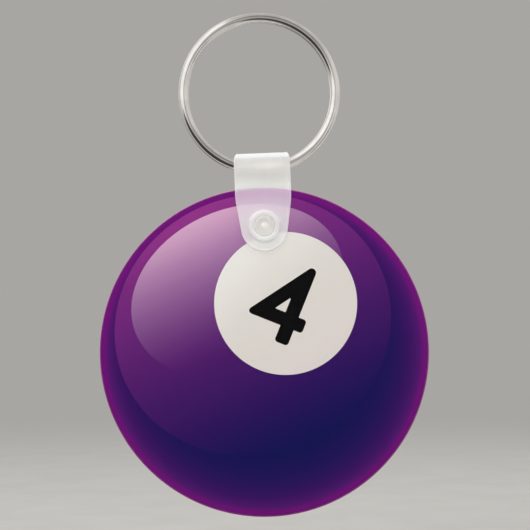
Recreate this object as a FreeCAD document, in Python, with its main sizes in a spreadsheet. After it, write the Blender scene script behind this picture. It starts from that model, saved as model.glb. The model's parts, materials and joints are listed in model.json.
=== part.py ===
import FreeCAD, Part
import math
import os

import Sketcher
from FreeCAD import Placement, Rotation, Vector

# Key-ring tag in the shape of a flat, printed pool ball number 4.
# It hangs from a split ring by a moulded snap strap.
#
# Frame: millimetres, +Z up, +X to the right and -Y to the front when the tag
# is seen from its printed front. The origin is the centre of the split ring,
# which is the point the tag hangs from. The ring lies in the XZ plane.

os.makedirs("parts", exist_ok=True)
doc = FreeCAD.newDocument("pool_ball_tag")

# ---------------------------------------------------------------- dimensions
# alias, value, description
DIMENSIONS = [
    # split ring
    ("ring_outer_r", 14.0, "outside radius of the split ring"),
    ("wire_radial", 1.65, "width of the wire across the ring"),
    ("wire_side", 0.1414, "flat height of the wire's inner and outer sides"),
    ("wire_corner_r", 0.5, "corner radius of the wire"),
    ("wire_crown_r", 1.5, "radius of the crowned faces of the wire"),
    ("wire_axial", 1.25, "thickness of one turn along the ring's axis"),
    ("turn_gap", 0.06, "gap between the two turns"),
    ("joggle_angle", 18.0, "arc in which the wire crosses from one turn to the other"),
    ("end_gap_angle", 2.0, "gap between a wire end and the crossing"),
    ("joggle_place", -79.0, "turn of the ring about its own axis"),
    # strap
    ("strap_lean", 2.2, "lean of the strap from the vertical, degrees"),
    ("strap_thick", 0.62, "thickness of the moulded strap"),
    ("strap_width", 9.7, "width of the strap at the fold"),
    ("loop_inner_r", 1.70, "inside radius of the fold round the ring"),
    ("loop_height", 10.432, "centre of the fold above the snap"),
    ("leg_gap", 0.06, "running gap between a leg and the disc's face"),
    ("bend_height", 7.3, "height above the snap where the legs turn parallel"),
    ("taper_height", 4.7, "height above the snap where the strap starts to taper"),
    ("tip_r", 4.05, "radius of the strap's round tip"),
    ("tip_drop", 0.32, "centre of the round tip below the snap"),
    ("fold_corner_r", 0.6, "corner radius of the fold seen from the front"),
    ("ring_drop", 23.10, "distance from the ring's centre down to the snap"),
    ("waste_side", 4.1, "margin of the trimming frame beside the strap"),
    ("waste_end", 3.0, "margin of the trimming frame above and below the strap"),
    # snap
    ("collar_r", 2.72, "outside radius of the snap collar"),
    ("collar_rise", 0.85, "height of the collar over the front leg"),
    ("collar_bore_r", 1.85, "bore of the collar"),
    ("collar_round", 0.32, "rounding of the collar's rim"),
    ("bore_lead", 0.5, "start of the bore's cut before the leg's inside face"),
    ("bore_extra", 2.0, "length of the bore's cut beyond the leg and collar height"),
    ("stud_r", 1.95, "radius of the stud in the disc's hole"),
    ("stud_neck_r", 1.48, "radius of the stud's neck"),
    ("neck_end", 0.42, "end of the neck in front of the disc's face"),
    ("head_flare", 0.12, "length over which the neck widens to the head"),
    ("stud_head_r", 1.78, "radius of the stud's head"),
    ("dome_rise", 0.45, "height of the head's dome"),
    ("stud_reach", 2.30, "height of the head's dome from the disc's mid-plane"),
    ("nub_r", 0.5, "radius of the small moulding nub on the head"),
    ("nub_taper", 0.7, "radius of the nub's tip as a share of its root's"),
    ("nub_rise", 0.16, "height of the nub"),
    ("pad_r", 2.6, "radius of the pad behind the stud"),
    ("pad_rise", 0.4, "height of the pad over the back leg"),
    ("pad_round", 0.22, "rounding of the pad's rim"),
    # disc
    ("disc_r", 28.575, "radius of the disc"),
    ("core_thick", 1.15, "thickness of the white core"),
    ("print_thick", 0.26, "thickness of a printed sheet"),
    ("film_thick", 0.24, "thickness of a clear film over a printed sheet"),
    ("seal_rim", 0.2, "width of the sealed edge outside a printed sheet"),
    ("film_round", 0.14, "rounding of the film's rim"),
    ("hole_r", 2.03, "radius of the disc's hole"),
    ("hole_height", 21.85, "centre of the hole above the disc's centre"),
    ("ink_overcut", 0.1, "extra depth of a cut through a spot or sheen area"),
    ("relief_overcut", 0.2, "extra depth of the cut that leaves the film's lip"),
    # artwork on a printed sheet
    ("inlay_thick", 0.18, "thickness of the spot and sheen areas"),
    ("spot_r", 12.41, "radius of the white spot"),
    ("spot_right", 3.69, "centre of the spot right of the disc's centre"),
    ("spot_up", 8.47, "centre of the spot above the disc's centre"),
    ("sheen_left", 4.67, "centre of the sheen left of the disc's centre"),
    ("sheen_up", 10.70, "centre of the sheen above the disc's centre"),
    ("sheen_long", 19.15, "long half-axis of the sheen"),
    ("sheen_short", 14.11, "short half-axis of the sheen"),
    ("sheen_tilt", 23.77, "tilt of the sheen's long axis, degrees"),
    ("numeral_thick", 0.10, "thickness of the numeral"),
    ("numeral_tilt", 21.6, "clockwise tilt of the numeral, degrees"),
    ("stroke", 2.4, "width of the numeral's cross bar and slanting stroke"),
    ("stem_wide", 2.48, "width of the numeral's stem"),
    ("stem_right", 3.02, "right side of the stem from the spot's centre"),
    ("stem_bottom", 6.77, "bottom of the stem below the spot's centre"),
    ("bar_bottom", 3.84, "underside of the cross bar below the spot's centre"),
    ("bar_right", 4.54, "right end of the cross bar from the spot's centre"),
    ("bar_left", 6.04, "left corner of the cross bar, unrounded, from the spot's centre"),
    ("slant_angle", 54.9, "slanting stroke over the cross bar, degrees"),
    ("numeral_round", 0.56, "rounding of the stem's and the cross bar's ends"),
    ("left_round", 0.6, "rounding of the numeral's left corner"),
    ("apex_round", 0.78, "rounding of the numeral's top corner"),
    ("counter_round", 0.12, "rounding of the corners of the numeral's counter"),
]
sheet = doc.addObject("Spreadsheet::Sheet", "Dims")
size = {}
for row, (alias, value, description) in enumerate(DIMENSIONS, start=1):
    sheet.set(f"A{row}", description)
    sheet.set(f"B{row}", repr(float(value)))
    sheet.setAlias(f"B{row}", alias)
    size[alias] = float(value)
doc.recompute()

# Distances in front of or behind the disc's mid-plane, as expressions
DISC_HALF = "(Dims.core_thick / 2 + Dims.print_thick + Dims.film_thick)"
LEG_INSIDE = f"({DISC_HALF} + Dims.leg_gap)"
PRINT_BACK = "(Dims.core_thick / 2)"
PRINT_FACE = "(Dims.core_thick / 2 + Dims.print_thick)"
INLAY_BACK = "(Dims.core_thick / 2 + Dims.print_thick - Dims.inlay_thick)"
NUMERAL_BACK = "(Dims.core_thick / 2 + Dims.print_thick - Dims.numeral_thick)"

# The same as numbers, for the first positions of sketched points
disc_half = size["core_thick"] / 2 + size["print_thick"] + size["film_thick"]
leg_inside = disc_half + size["leg_gap"]
leg_outside = leg_inside + size["strap_thick"]

# The snap's centre in the ring's frame
SNAP_X = "Dims.ring_drop * sin(Dims.strap_lean * 1deg)"
SNAP_Z = "-Dims.ring_drop * cos(Dims.strap_lean * 1deg)"

# Sketcher's numbers for its fixed geometry and for the points of an element
ORIGIN = -1
X_AXIS = -1
Y_AXIS = -2
START, END, CENTRE = 1, 2, 3


# ------------------------------------------------------------ sketch helpers
def new_body(label):
    return doc.addObject("PartDesign::Body", label)


def origin_plane(body, role):
    for feature in body.Origin.OriginFeatures:
        if feature.Role == role:
            return feature
    raise RuntimeError(role)


def new_sketch(body, name, role, offset_expr=None, turn_expr=None):
    """A sketch on one of the body's own origin planes.

    offset_expr moves it along the plane's normal, which is -Y for XZ_Plane.
    turn_expr turns it about the sketch's own vertical axis.
    """
    sketch = body.newObject("Sketcher::SketchObject", name)
    sketch.AttachmentSupport = [(origin_plane(body, role), "")]
    sketch.MapMode = "FlatFace"
    if turn_expr is not None:
        # a turn other than zero sets the axis that the bound angle turns about
        sketch.AttachmentOffset = Placement(Vector(0, 0, 0), Rotation(Vector(0, 1, 0), 1.0))
        sketch.setExpression("AttachmentOffset.Rotation.Angle", turn_expr)
    if offset_expr is not None:
        sketch.setExpression("AttachmentOffset.Base.z", offset_expr)
    return sketch


def add_line(sketch, x0, y0, x1, y1, construction=False):
    segment = Part.LineSegment(Vector(x0, y0, 0), Vector(x1, y1, 0))
    return sketch.addGeometry(segment, construction)


def add_arc(sketch, x, y, radius, start_angle, end_angle):
    full = Part.Circle(Vector(x, y, 0), Vector(0, 0, 1), radius)
    return sketch.addGeometry(Part.ArcOfCircle(full, start_angle, end_angle), False)


def relate(sketch, kind, *places):
    """One constraint of this kind for each tuple of elements and points."""
    for place in places:
        sketch.addConstraint(Sketcher.Constraint(kind, *place))


def bind(sketch, name, expr, *constraint):
    """A named driving constraint that follows an expression."""
    index = sketch.addConstraint(Sketcher.Constraint(*constraint))
    sketch.renameConstraint(index, name)
    sketch.setExpression("Constraints." + name, expr)


def bind_from_origin(sketch, kind, element, point, value, name, expr):
    """Place of a point from the origin. value may be negative; expr is
    always the positive distance."""
    if value >= 0:
        ends = (ORIGIN, START, element, point)
    else:
        ends = (element, point, ORIGIN, START)
    bind(sketch, name, expr, kind, *ends, abs(value))


def at_x(sketch, element, point, value, name, expr):
    bind_from_origin(sketch, "DistanceX", element, point, value, name, expr)


def at_y(sketch, element, point, value, name, expr):
    bind_from_origin(sketch, "DistanceY", element, point, value, name, expr)


def add_circle(sketch, tag, alias_expr, x, y, radius, x_expr=None, y_expr=None):
    """A circle at the origin, on the vertical axis or at a bound place."""
    full = sketch.addGeometry(Part.Circle(Vector(x, y, 0), Vector(0, 0, 1), radius), False)
    bind(sketch, tag + "_radius", alias_expr, "Radius", full, radius)
    if x_expr is None and y_expr is None:
        relate(sketch, "Coincident", (full, CENTRE, ORIGIN, START))
        return
    if x_expr is None:
        relate(sketch, "PointOnObject", (full, CENTRE, Y_AXIS))
    else:
        at_x(sketch, full, CENTRE, x, tag + "_across", x_expr)
    at_y(sketch, full, CENTRE, y, tag + "_up", y_expr)


# ----------------------------------------------------------- feature helpers
def pad(body, name, sketch, length_expr, midplane=False):
    feature = body.newObject("PartDesign::Pad", name)
    feature.Profile = sketch
    feature.setExpression("Length", length_expr)
    feature.Midplane = midplane
    doc.recompute()
    return feature


def pocket(body, base, name, sketch, length_expr, least, midplane=False, reverse=False):
    """A cut that must take at least this much volume from base."""
    before = base.Shape.Volume
    feature = body.newObject("PartDesign::Pocket", name)
    feature.Profile = sketch
    feature.setExpression("Length", length_expr)
    feature.Midplane = midplane
    feature.Reversed = reverse
    doc.recompute()
    removed = before - feature.Shape.Volume
    if not removed > least:
        raise RuntimeError(f"{name} cut {removed:.4f} mm3, expected more than {least:.4f}")
    return feature


def circular_edges(shape, radius, y, tolerance=1e-4):
    """Names of the full circles of this radius at this height along Y."""
    names = []
    for number, edge in enumerate(shape.Edges, start=1):
        curve = edge.Curve
        if (isinstance(curve, Part.Circle)
                and abs(curve.Radius - radius) < tolerance
                and abs(curve.Center.y - y) < tolerance
                and edge.Length > 6.0 * radius):
            names.append(f"Edge{number}")
    return names


def round_rim(body, name, base, radius, y, rounding_expr):
    """Round the circular edges of this radius at this height along Y."""
    edges = circular_edges(base.Shape, radius, y)
    if not edges:
        raise RuntimeError(f"{name} found no edge")
    feature = body.newObject("PartDesign::Fillet", name)
    feature.Base = (base, edges)
    feature.setExpression("Radius", rounding_expr)
    doc.recompute()
    return feature


# ================================================================ split ring
# One steel wire wound two turns. The turns lie side by side along the ring's
# axis (Y), and the wire crosses from the back turn to the front turn in a
# short arc. Each turn ends in a square cut next to that crossing.
TURN_OFFSET = "(Dims.wire_axial + Dims.turn_gap) / 2"
JOINED_ANGLE = "180 - Dims.joggle_angle / 2"
FREE_ANGLE = "180 - Dims.joggle_angle / 2 - Dims.end_gap_angle"
CROSSING_STEPS = 6


def wire_section(ring, name, y_middle, y_expr, turn_expr=None):
    """The wire's section: flat sides, round corners, crowned faces."""
    sketch = new_sketch(ring, name, "XY_Plane", turn_expr=turn_expr)
    outer = size["ring_outer_r"]
    inner = outer - size["wire_radial"]
    corner = size["wire_corner_r"]
    crown = size["wire_crown_r"]
    side = size["wire_side"] / 2
    x_middle = (outer + inner) / 2
    # from a crown's centre to a corner's centre
    across = (outer - inner) / 2 - corner
    along = math.sqrt((crown - corner) ** 2 - across ** 2)
    meet = math.atan2(along, across)     # where a corner arc meets a crown arc
    y_high = y_middle + side
    y_low = y_middle - side

    right = add_line(sketch, outer, y_low, outer, y_high)
    high_right = add_arc(sketch, outer - corner, y_high, corner, 0, meet)
    high_crown = add_arc(sketch, x_middle, y_high - along, crown, meet, math.pi - meet)
    high_left = add_arc(sketch, inner + corner, y_high, corner, math.pi - meet, math.pi)
    left = add_line(sketch, inner, y_high, inner, y_low)
    low_left = add_arc(sketch, inner + corner, y_low, corner, math.pi, math.pi + meet)
    low_crown = add_arc(sketch, x_middle, y_low + along, crown,
                        math.pi + meet, 2 * math.pi - meet)
    low_right = add_arc(sketch, outer - corner, y_low, corner,
                        2 * math.pi - meet, 2 * math.pi)

    relate(sketch, "Tangent",
           (right, END, high_right, START),
           (high_right, END, high_crown, START),
           (high_crown, END, high_left, START),
           (high_left, END, left, START),
           (left, END, low_left, START),
           (low_left, END, low_crown, START),
           (low_crown, END, low_right, START))
    relate(sketch, "Coincident", (low_right, END, right, START))
    relate(sketch, "Vertical", (right,))
    relate(sketch, "Equal",
           (high_right, high_left), (high_right, low_left), (high_right, low_right),
           (high_crown, low_crown))
    bind(sketch, "corner", "Dims.wire_corner_r", "Radius", high_right, corner)
    bind(sketch, "crown", "Dims.wire_crown_r", "Radius", high_crown, crown)
    bind(sketch, "side", "Dims.wire_side", "DistanceY", right, START, right, END, 2 * side)
    at_x(sketch, right, START, outer, "outside", "Dims.ring_outer_r")
    bind(sketch, "radial", "Dims.wire_radial",
         "DistanceX", left, START, right, END, outer - inner)

    # the section's middle along the ring's axis
    middle = sketch.addGeometry(Part.Point(Vector(x_middle, y_middle, 0)), True)
    relate(sketch, "Symmetric", (right, START, left, START, middle, START))
    if abs(y_middle) < 1e-9:
        relate(sketch, "PointOnObject", (middle, START, X_AXIS))
    else:
        at_y(sketch, middle, START, y_middle, "axial", y_expr)
    return sketch


def wire_turn(ring, name, y_middle, angle_expr, second_angle_expr):
    """One turn of wire, revolved both ways from its section."""
    section = wire_section(ring, name + "_section", y_middle, TURN_OFFSET)
    feature = ring.newObject("PartDesign::Revolution", name)
    feature.Profile = section
    feature.ReferenceAxis = (section, ["V_Axis"])
    feature.Type = "TwoAngles"
    feature.setExpression("Angle", angle_expr)
    feature.setExpression("Angle2", second_angle_expr)
    doc.recompute()


def wire_crossing(ring, turn_offset):
    """A loft through sections that step smoothly from turn to turn."""
    sections = []
    for step in range(CROSSING_STEPS + 1):
        fraction = step / CROSSING_STEPS
        ease = fraction * fraction * (3 - 2 * fraction)
        share = 1 - 2 * ease             # 1 at the back turn, -1 at the front
        sections.append(wire_section(
            ring, f"crossing_section_{step}", share * turn_offset,
            f"{abs(share):.6f} * ({TURN_OFFSET})",
            turn_expr=f"{JOINED_ANGLE} + Dims.joggle_angle * {fraction:.6f}"))
    doc.recompute()
    crossing = ring.newObject("PartDesign::AdditiveLoft", "crossing")
    crossing.Profile = sections[0]
    crossing.Sections = sections[1:]
    crossing.Ruled = False
    crossing.Closed = False
    doc.recompute()


def split_ring():
    ring = new_body("split_ring")
    turn_offset = (size["wire_axial"] + size["turn_gap"]) / 2
    wire_turn(ring, "back_turn", turn_offset, JOINED_ANGLE, FREE_ANGLE)
    wire_turn(ring, "front_turn", -turn_offset, FREE_ANGLE, JOINED_ANGLE)
    wire_crossing(ring, turn_offset)
    ring.Placement = Placement(Vector(0, 0, 0),
                               Rotation(Vector(0, 1, 0), size["joggle_place"]))
    ring.setExpression("Placement.Rotation.Angle", "Dims.joggle_place")
    return ring


# ===================================================================== strap
# One translucent moulding folded over the ring. It is parted at the top of
# the fold, where the front leg turns when the snap is opened.
# Strap frame: origin at the snap's centre on the disc's mid-plane.
FOLD_TOP = "Dims.loop_height + Dims.loop_inner_r + Dims.strap_thick"
fold_top = size["loop_height"] + size["loop_inner_r"] + size["strap_thick"]
tip_bottom = -(size["tip_r"] + size["tip_drop"])


def strap_profile(body, side):
    """Side view of one leg and its share of the fold."""
    sketch = new_sketch(body, body.Label + "_profile", "YZ_Plane")
    inner_r = size["loop_inner_r"]
    outer_r = inner_r + size["strap_thick"]
    fold_z = size["loop_height"]
    bend_z = size["bend_height"]
    # tangent from the bend point to the fold's inside circle
    bend_below = bend_z - fold_z
    angle = (math.atan2(bend_below, leg_inside)
             + math.acos(inner_r / math.hypot(leg_inside, bend_below)))
    in_y = inner_r * math.cos(angle)
    in_z = fold_z + inner_r * math.sin(angle)
    out_y = outer_r * math.cos(angle)
    out_z = fold_z + outer_r * math.sin(angle)
    slope = (leg_inside - in_y) / (bend_z - in_z)
    outer_bend_z = out_z + (leg_outside - out_y) / slope

    def line(y0, z0, y1, z1):
        return add_line(sketch, side * y0, z0, side * y1, z1)

    def fold_arc(radius):
        if side > 0:
            return add_arc(sketch, 0, fold_z, radius, angle, math.pi / 2)
        return add_arc(sketch, 0, fold_z, radius, math.pi / 2, math.pi - angle)

    # which point of a fold arc is at the leg and which at the top of the fold
    leg_end, top_end = (START, END) if side > 0 else (END, START)
    inner_arc = fold_arc(inner_r)
    inner_slope = line(in_y, in_z, leg_inside, bend_z)
    inner_leg = line(leg_inside, bend_z, leg_inside, tip_bottom)
    bottom = line(leg_inside, tip_bottom, leg_outside, tip_bottom)
    outer_leg = line(leg_outside, tip_bottom, leg_outside, outer_bend_z)
    outer_slope = line(leg_outside, outer_bend_z, out_y, out_z)
    outer_arc = fold_arc(outer_r)
    parting = line(0, fold_z + outer_r, 0, fold_z + inner_r)

    relate(sketch, "Tangent", (inner_arc, leg_end, inner_slope, START))
    relate(sketch, "Coincident",
           (inner_slope, END, inner_leg, START),
           (inner_leg, END, bottom, START),
           (bottom, END, outer_leg, START),
           (outer_leg, END, outer_slope, START))
    relate(sketch, "Tangent", (outer_slope, END, outer_arc, leg_end))
    relate(sketch, "Coincident",
           (outer_arc, top_end, parting, START),
           (parting, END, inner_arc, top_end))
    relate(sketch, "Vertical", (inner_leg,), (outer_leg,))
    relate(sketch, "Horizontal", (bottom,))
    relate(sketch, "PointOnObject",
           (parting, START, Y_AXIS), (parting, END, Y_AXIS), (inner_arc, CENTRE, Y_AXIS))
    relate(sketch, "Coincident", (outer_arc, CENTRE, inner_arc, CENTRE))
    relate(sketch, "Parallel", (inner_slope, outer_slope))
    bind(sketch, "inside_radius", "Dims.loop_inner_r", "Radius", inner_arc, inner_r)
    bind(sketch, "outside_radius", "Dims.loop_inner_r + Dims.strap_thick",
         "Radius", outer_arc, outer_r)
    at_y(sketch, inner_arc, CENTRE, fold_z, "fold_centre", "Dims.loop_height")
    at_y(sketch, inner_slope, END, bend_z, "bend", "Dims.bend_height")
    at_x(sketch, inner_leg, END, side * leg_inside, "leg_inside", LEG_INSIDE)
    at_x(sketch, outer_leg, START, side * leg_outside, "leg_outside",
         LEG_INSIDE + " + Dims.strap_thick")
    at_y(sketch, inner_leg, END, tip_bottom, "tip", "Dims.tip_r + Dims.tip_drop")
    return sketch


def strap_outline(body):
    """The tapered, round-tipped tongue inside a frame of waste."""
    sketch = new_sketch(body, body.Label + "_outline", "XZ_Plane")
    half_width = size["strap_width"] / 2
    taper_z = size["taper_height"]
    tip_r = size["tip_r"]
    tip_z = -size["tip_drop"]
    corner = size["fold_corner_r"]
    corner_x = half_width - corner
    corner_z = fold_top - corner
    # where a tapered side touches the round tip
    taper_above = taper_z - tip_z
    touch = (math.atan2(taper_above, half_width)
             - math.acos(tip_r / math.hypot(half_width, taper_above)))
    touch_x = tip_r * math.cos(touch)
    touch_z = tip_z + tip_r * math.sin(touch)

    top = add_line(sketch, -corner_x, fold_top, corner_x, fold_top)
    right_corner = add_arc(sketch, corner_x, corner_z, corner, 0, math.pi / 2)
    right_side = add_line(sketch, half_width, corner_z, half_width, taper_z)
    right_taper = add_line(sketch, half_width, taper_z, touch_x, touch_z)
    tip = add_arc(sketch, 0, tip_z, tip_r, math.pi - touch, 2 * math.pi + touch)
    left_taper = add_line(sketch, -touch_x, touch_z, -half_width, taper_z)
    left_side = add_line(sketch, -half_width, taper_z, -half_width, corner_z)
    left_corner = add_arc(sketch, -corner_x, corner_z, corner, math.pi / 2, math.pi)

    relate(sketch, "Tangent",
           (top, END, right_corner, END), (right_corner, START, right_side, START))
    relate(sketch, "Coincident", (right_side, END, right_taper, START))
    relate(sketch, "Tangent",
           (right_taper, END, tip, END), (tip, START, left_taper, START))
    relate(sketch, "Coincident", (left_taper, END, left_side, START))
    relate(sketch, "Tangent",
           (left_side, END, left_corner, END), (left_corner, START, top, START))
    relate(sketch, "Vertical", (right_side,), (left_side,))
    relate(sketch, "Horizontal", (top,))
    relate(sketch, "Equal", (right_corner, left_corner))
    relate(sketch, "PointOnObject", (tip, CENTRE, Y_AXIS))
    bind(sketch, "fold_corner", "Dims.fold_corner_r", "Radius", right_corner, corner)
    bind(sketch, "tip_radius", "Dims.tip_r", "Radius", tip, tip_r)
    at_y(sketch, tip, CENTRE, tip_z, "tip_centre", "Dims.tip_drop")
    at_x(sketch, right_side, END, half_width, "half_width_right", "Dims.strap_width / 2")
    at_x(sketch, left_side, START, -half_width, "half_width_left", "Dims.strap_width / 2")
    at_y(sketch, right_side, END, taper_z, "taper_right", "Dims.taper_height")
    at_y(sketch, left_side, START, taper_z, "taper_left", "Dims.taper_height")
    at_y(sketch, top, START, fold_top, "fold_top", FOLD_TOP)

    # the waste's outer frame
    frame_x = half_width + size["waste_side"]
    frame_top = fold_top + size["waste_end"]
    frame_low = tip_bottom - size["waste_end"]
    low = add_line(sketch, -frame_x, frame_low, frame_x, frame_low)
    right = add_line(sketch, frame_x, frame_low, frame_x, frame_top)
    high = add_line(sketch, frame_x, frame_top, -frame_x, frame_top)
    left = add_line(sketch, -frame_x, frame_top, -frame_x, frame_low)
    relate(sketch, "Coincident",
           (low, END, right, START), (right, END, high, START),
           (high, END, left, START), (left, END, low, START))
    relate(sketch, "Horizontal", (low,))
    relate(sketch, "Vertical", (right,))
    relate(sketch, "Horizontal", (high,))
    relate(sketch, "Vertical", (left,))
    frame_expr = "Dims.strap_width / 2 + Dims.waste_side"
    at_x(sketch, right, START, frame_x, "waste_right", frame_expr)
    at_x(sketch, left, START, -frame_x, "waste_left", frame_expr)
    at_y(sketch, right, END, frame_top, "waste_top", FOLD_TOP + " + Dims.waste_end")
    at_y(sketch, low, START, frame_low, "waste_bottom",
         "Dims.tip_r + Dims.tip_drop + Dims.waste_end")
    return sketch


def strap_half(body, side):
    """Half of the folded strap, trimmed to its outline.
    side is +1 behind the disc and -1 in front of it."""
    strip = pad(body, body.Label + "_strip", strap_profile(body, side),
                "Dims.strap_width", midplane=True)
    pocket(body, strip, body.Label + "_trim", strap_outline(body),
           f"4 * ({LEG_INSIDE} + Dims.strap_thick)", least=5.0, midplane=True)


def place_on_strap(body):
    """The strap hangs below the ring and leans with its fold."""
    body.Placement = Placement(Vector(0, 0, 0),
                               Rotation(Vector(0, -1, 0), size["strap_lean"]))
    body.setExpression("Placement.Base.x", SNAP_X)
    body.setExpression("Placement.Base.z", SNAP_Z)
    body.setExpression("Placement.Rotation.Angle", "Dims.strap_lean")


def front_leg():
    """Front leg with the snap collar, a bored boss proud of the leg."""
    body = new_body("strap_front_leg")
    strap_half(body, -1)
    sketch = new_sketch(body, "collar_circle", "XZ_Plane",
                        offset_expr=LEG_INSIDE + " + Dims.strap_thick / 2")
    add_circle(sketch, "collar", "Dims.collar_r", 0, 0, size["collar_r"])
    collar = pad(body, "collar", sketch, "Dims.strap_thick / 2 + Dims.collar_rise")
    sketch = new_sketch(body, "collar_bore_circle", "XZ_Plane",
                        offset_expr=LEG_INSIDE + " - Dims.bore_lead")
    add_circle(sketch, "bore", "Dims.collar_bore_r", 0, 0, size["collar_bore_r"])
    bore = pocket(body, collar, "collar_bore", sketch,
                  "Dims.strap_thick + Dims.collar_rise + Dims.bore_extra",
                  least=5.0, reverse=True)
    rim_y = -(leg_outside + size["collar_rise"])
    rounded = round_rim(body, "collar_rounding", bore, size["collar_r"], rim_y,
                        "Dims.collar_round")
    round_rim(body, "collar_lip_rounding", rounded, size["collar_bore_r"], rim_y,
              "Dims.collar_round / 2")
    place_on_strap(body)
    return body


def stud_profile(body):
    """Half section of the stud: shank through the disc, neck, domed head and
    a small moulding nub. It reaches towards -Y."""
    sketch = new_sketch(body, "stud_profile", "XY_Plane")
    shank_r = size["stud_r"]
    neck_r = size["stud_neck_r"]
    head_r = size["stud_head_r"]
    nub_r = size["nub_r"]
    nub_tip_r = nub_r * size["nub_taper"]
    dome_rise = size["dome_rise"]
    root_y = leg_inside + size["strap_thick"] / 2
    shoulder_y = -(disc_half + size["leg_gap"] / 3)
    neck_y = -(disc_half + size["neck_end"])
    head_y = neck_y - size["head_flare"]
    dome_top_y = -size["stud_reach"]
    head_side_y = dome_top_y + dome_rise
    dome_r = (head_r * head_r + dome_rise * dome_rise) / (2 * dome_rise)
    dome_y = dome_top_y + dome_r
    side_angle = math.atan2(head_side_y - dome_y, head_r)
    nub_angle = -math.acos(nub_r / dome_r)
    nub_root_y = dome_y + dome_r * math.sin(nub_angle)
    nub_tip_y = nub_root_y - size["nub_rise"]

    root = add_line(sketch, 0, root_y, shank_r, root_y)
    shank = add_line(sketch, shank_r, root_y, shank_r, shoulder_y)
    shoulder = add_line(sketch, shank_r, shoulder_y, neck_r, shoulder_y)
    neck = add_line(sketch, neck_r, shoulder_y, neck_r, neck_y)
    flare = add_line(sketch, neck_r, neck_y, head_r, head_y)
    head = add_line(sketch, head_r, head_y, head_r, head_side_y)
    dome = add_arc(sketch, 0, dome_y, dome_r, nub_angle, side_angle)
    nub_side = add_line(sketch, nub_r, nub_root_y, nub_tip_r, nub_tip_y)
    nub_tip = add_line(sketch, nub_tip_r, nub_tip_y, 0, nub_tip_y)
    axis = add_line(sketch, 0, nub_tip_y, 0, root_y)

    relate(sketch, "Coincident",
           (root, END, shank, START),
           (shank, END, shoulder, START),
           (shoulder, END, neck, START),
           (neck, END, flare, START),
           (flare, END, head, START),
           (head, END, dome, END),
           (dome, START, nub_side, START),
           (nub_side, END, nub_tip, START),
           (nub_tip, END, axis, START),
           (axis, END, root, START))
    relate(sketch, "PointOnObject",
           (root, START, Y_AXIS), (nub_tip, END, Y_AXIS), (dome, CENTRE, Y_AXIS))
    relate(sketch, "Horizontal", (root,), (shoulder,), (nub_tip,))
    relate(sketch, "Vertical", (shank,), (neck,), (head,))
    at_x(sketch, shank, START, shank_r, "shank", "Dims.stud_r")
    at_x(sketch, neck, START, neck_r, "neck", "Dims.stud_neck_r")
    at_x(sketch, head, START, head_r, "head", "Dims.stud_head_r")
    at_x(sketch, nub_side, START, nub_r, "nub", "Dims.nub_r")
    at_x(sketch, nub_side, END, nub_tip_r, "nub_tip", "Dims.nub_r * Dims.nub_taper")
    at_y(sketch, root, START, root_y, "root", LEG_INSIDE + " + Dims.strap_thick / 2")
    at_y(sketch, shank, END, shoulder_y, "shoulder", DISC_HALF + " + Dims.leg_gap / 3")
    at_y(sketch, neck, END, neck_y, "neck_end", DISC_HALF + " + Dims.neck_end")
    at_y(sketch, head, START, head_y, "head_start",
         DISC_HALF + " + Dims.neck_end + Dims.head_flare")
    at_y(sketch, head, END, head_side_y, "head_side_end", "Dims.stud_reach - Dims.dome_rise")
    bind(sketch, "dome_radius",
         "(Dims.stud_head_r * Dims.stud_head_r + Dims.dome_rise * Dims.dome_rise)"
         " / (2 * Dims.dome_rise)", "Radius", dome, dome_r)
    bind(sketch, "nub_rise", "Dims.nub_rise",
         "DistanceY", nub_side, END, nub_side, START, size["nub_rise"])
    return sketch


def back_leg():
    """Back leg, the rest of the fold, the pad and the stud."""
    body = new_body("strap_back_leg")
    strap_half(body, 1)
    sketch = new_sketch(body, "pad_circle", "XZ_Plane",
                        offset_expr=f"-({LEG_INSIDE} + Dims.strap_thick + Dims.pad_rise)")
    add_circle(sketch, "pad", "Dims.pad_r", 0, 0, size["pad_r"])
    stud_pad = pad(body, "stud_pad", sketch, "Dims.pad_rise + Dims.strap_thick / 2")
    round_rim(body, "pad_rounding", stud_pad, size["pad_r"],
              leg_outside + size["pad_rise"], "Dims.pad_round")
    sketch = stud_profile(body)
    stud = body.newObject("PartDesign::Revolution", "stud")
    stud.Profile = sketch
    stud.ReferenceAxis = (sketch, ["V_Axis"])
    stud.Angle = 360
    doc.recompute()
    place_on_strap(body)
    return body


# ====================================================================== disc
# A flat laminate. Disc frame: origin at the disc's centre on its mid-plane.
# Every layer is built towards the front; the back layers are the same shapes
# turned half round about the vertical, so that the artwork reads the right
# way round from behind.
def place_on_disc(body, half_turn):
    body.Placement = Placement(Vector(0, 0, 0), Rotation(Vector(0, 0, 1), half_turn))
    body.setExpression("Placement.Base.x", SNAP_X)
    body.setExpression("Placement.Base.z", SNAP_Z + " - Dims.hole_height")


def hole_circle(sketch):
    add_circle(sketch, "hole", "Dims.hole_r", 0, size["hole_height"], size["hole_r"],
               y_expr="Dims.hole_height")


def spot_circle(sketch):
    add_circle(sketch, "spot", "Dims.spot_r",
               size["spot_right"], size["spot_up"], size["spot_r"],
               x_expr="Dims.spot_right", y_expr="Dims.spot_up")


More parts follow.
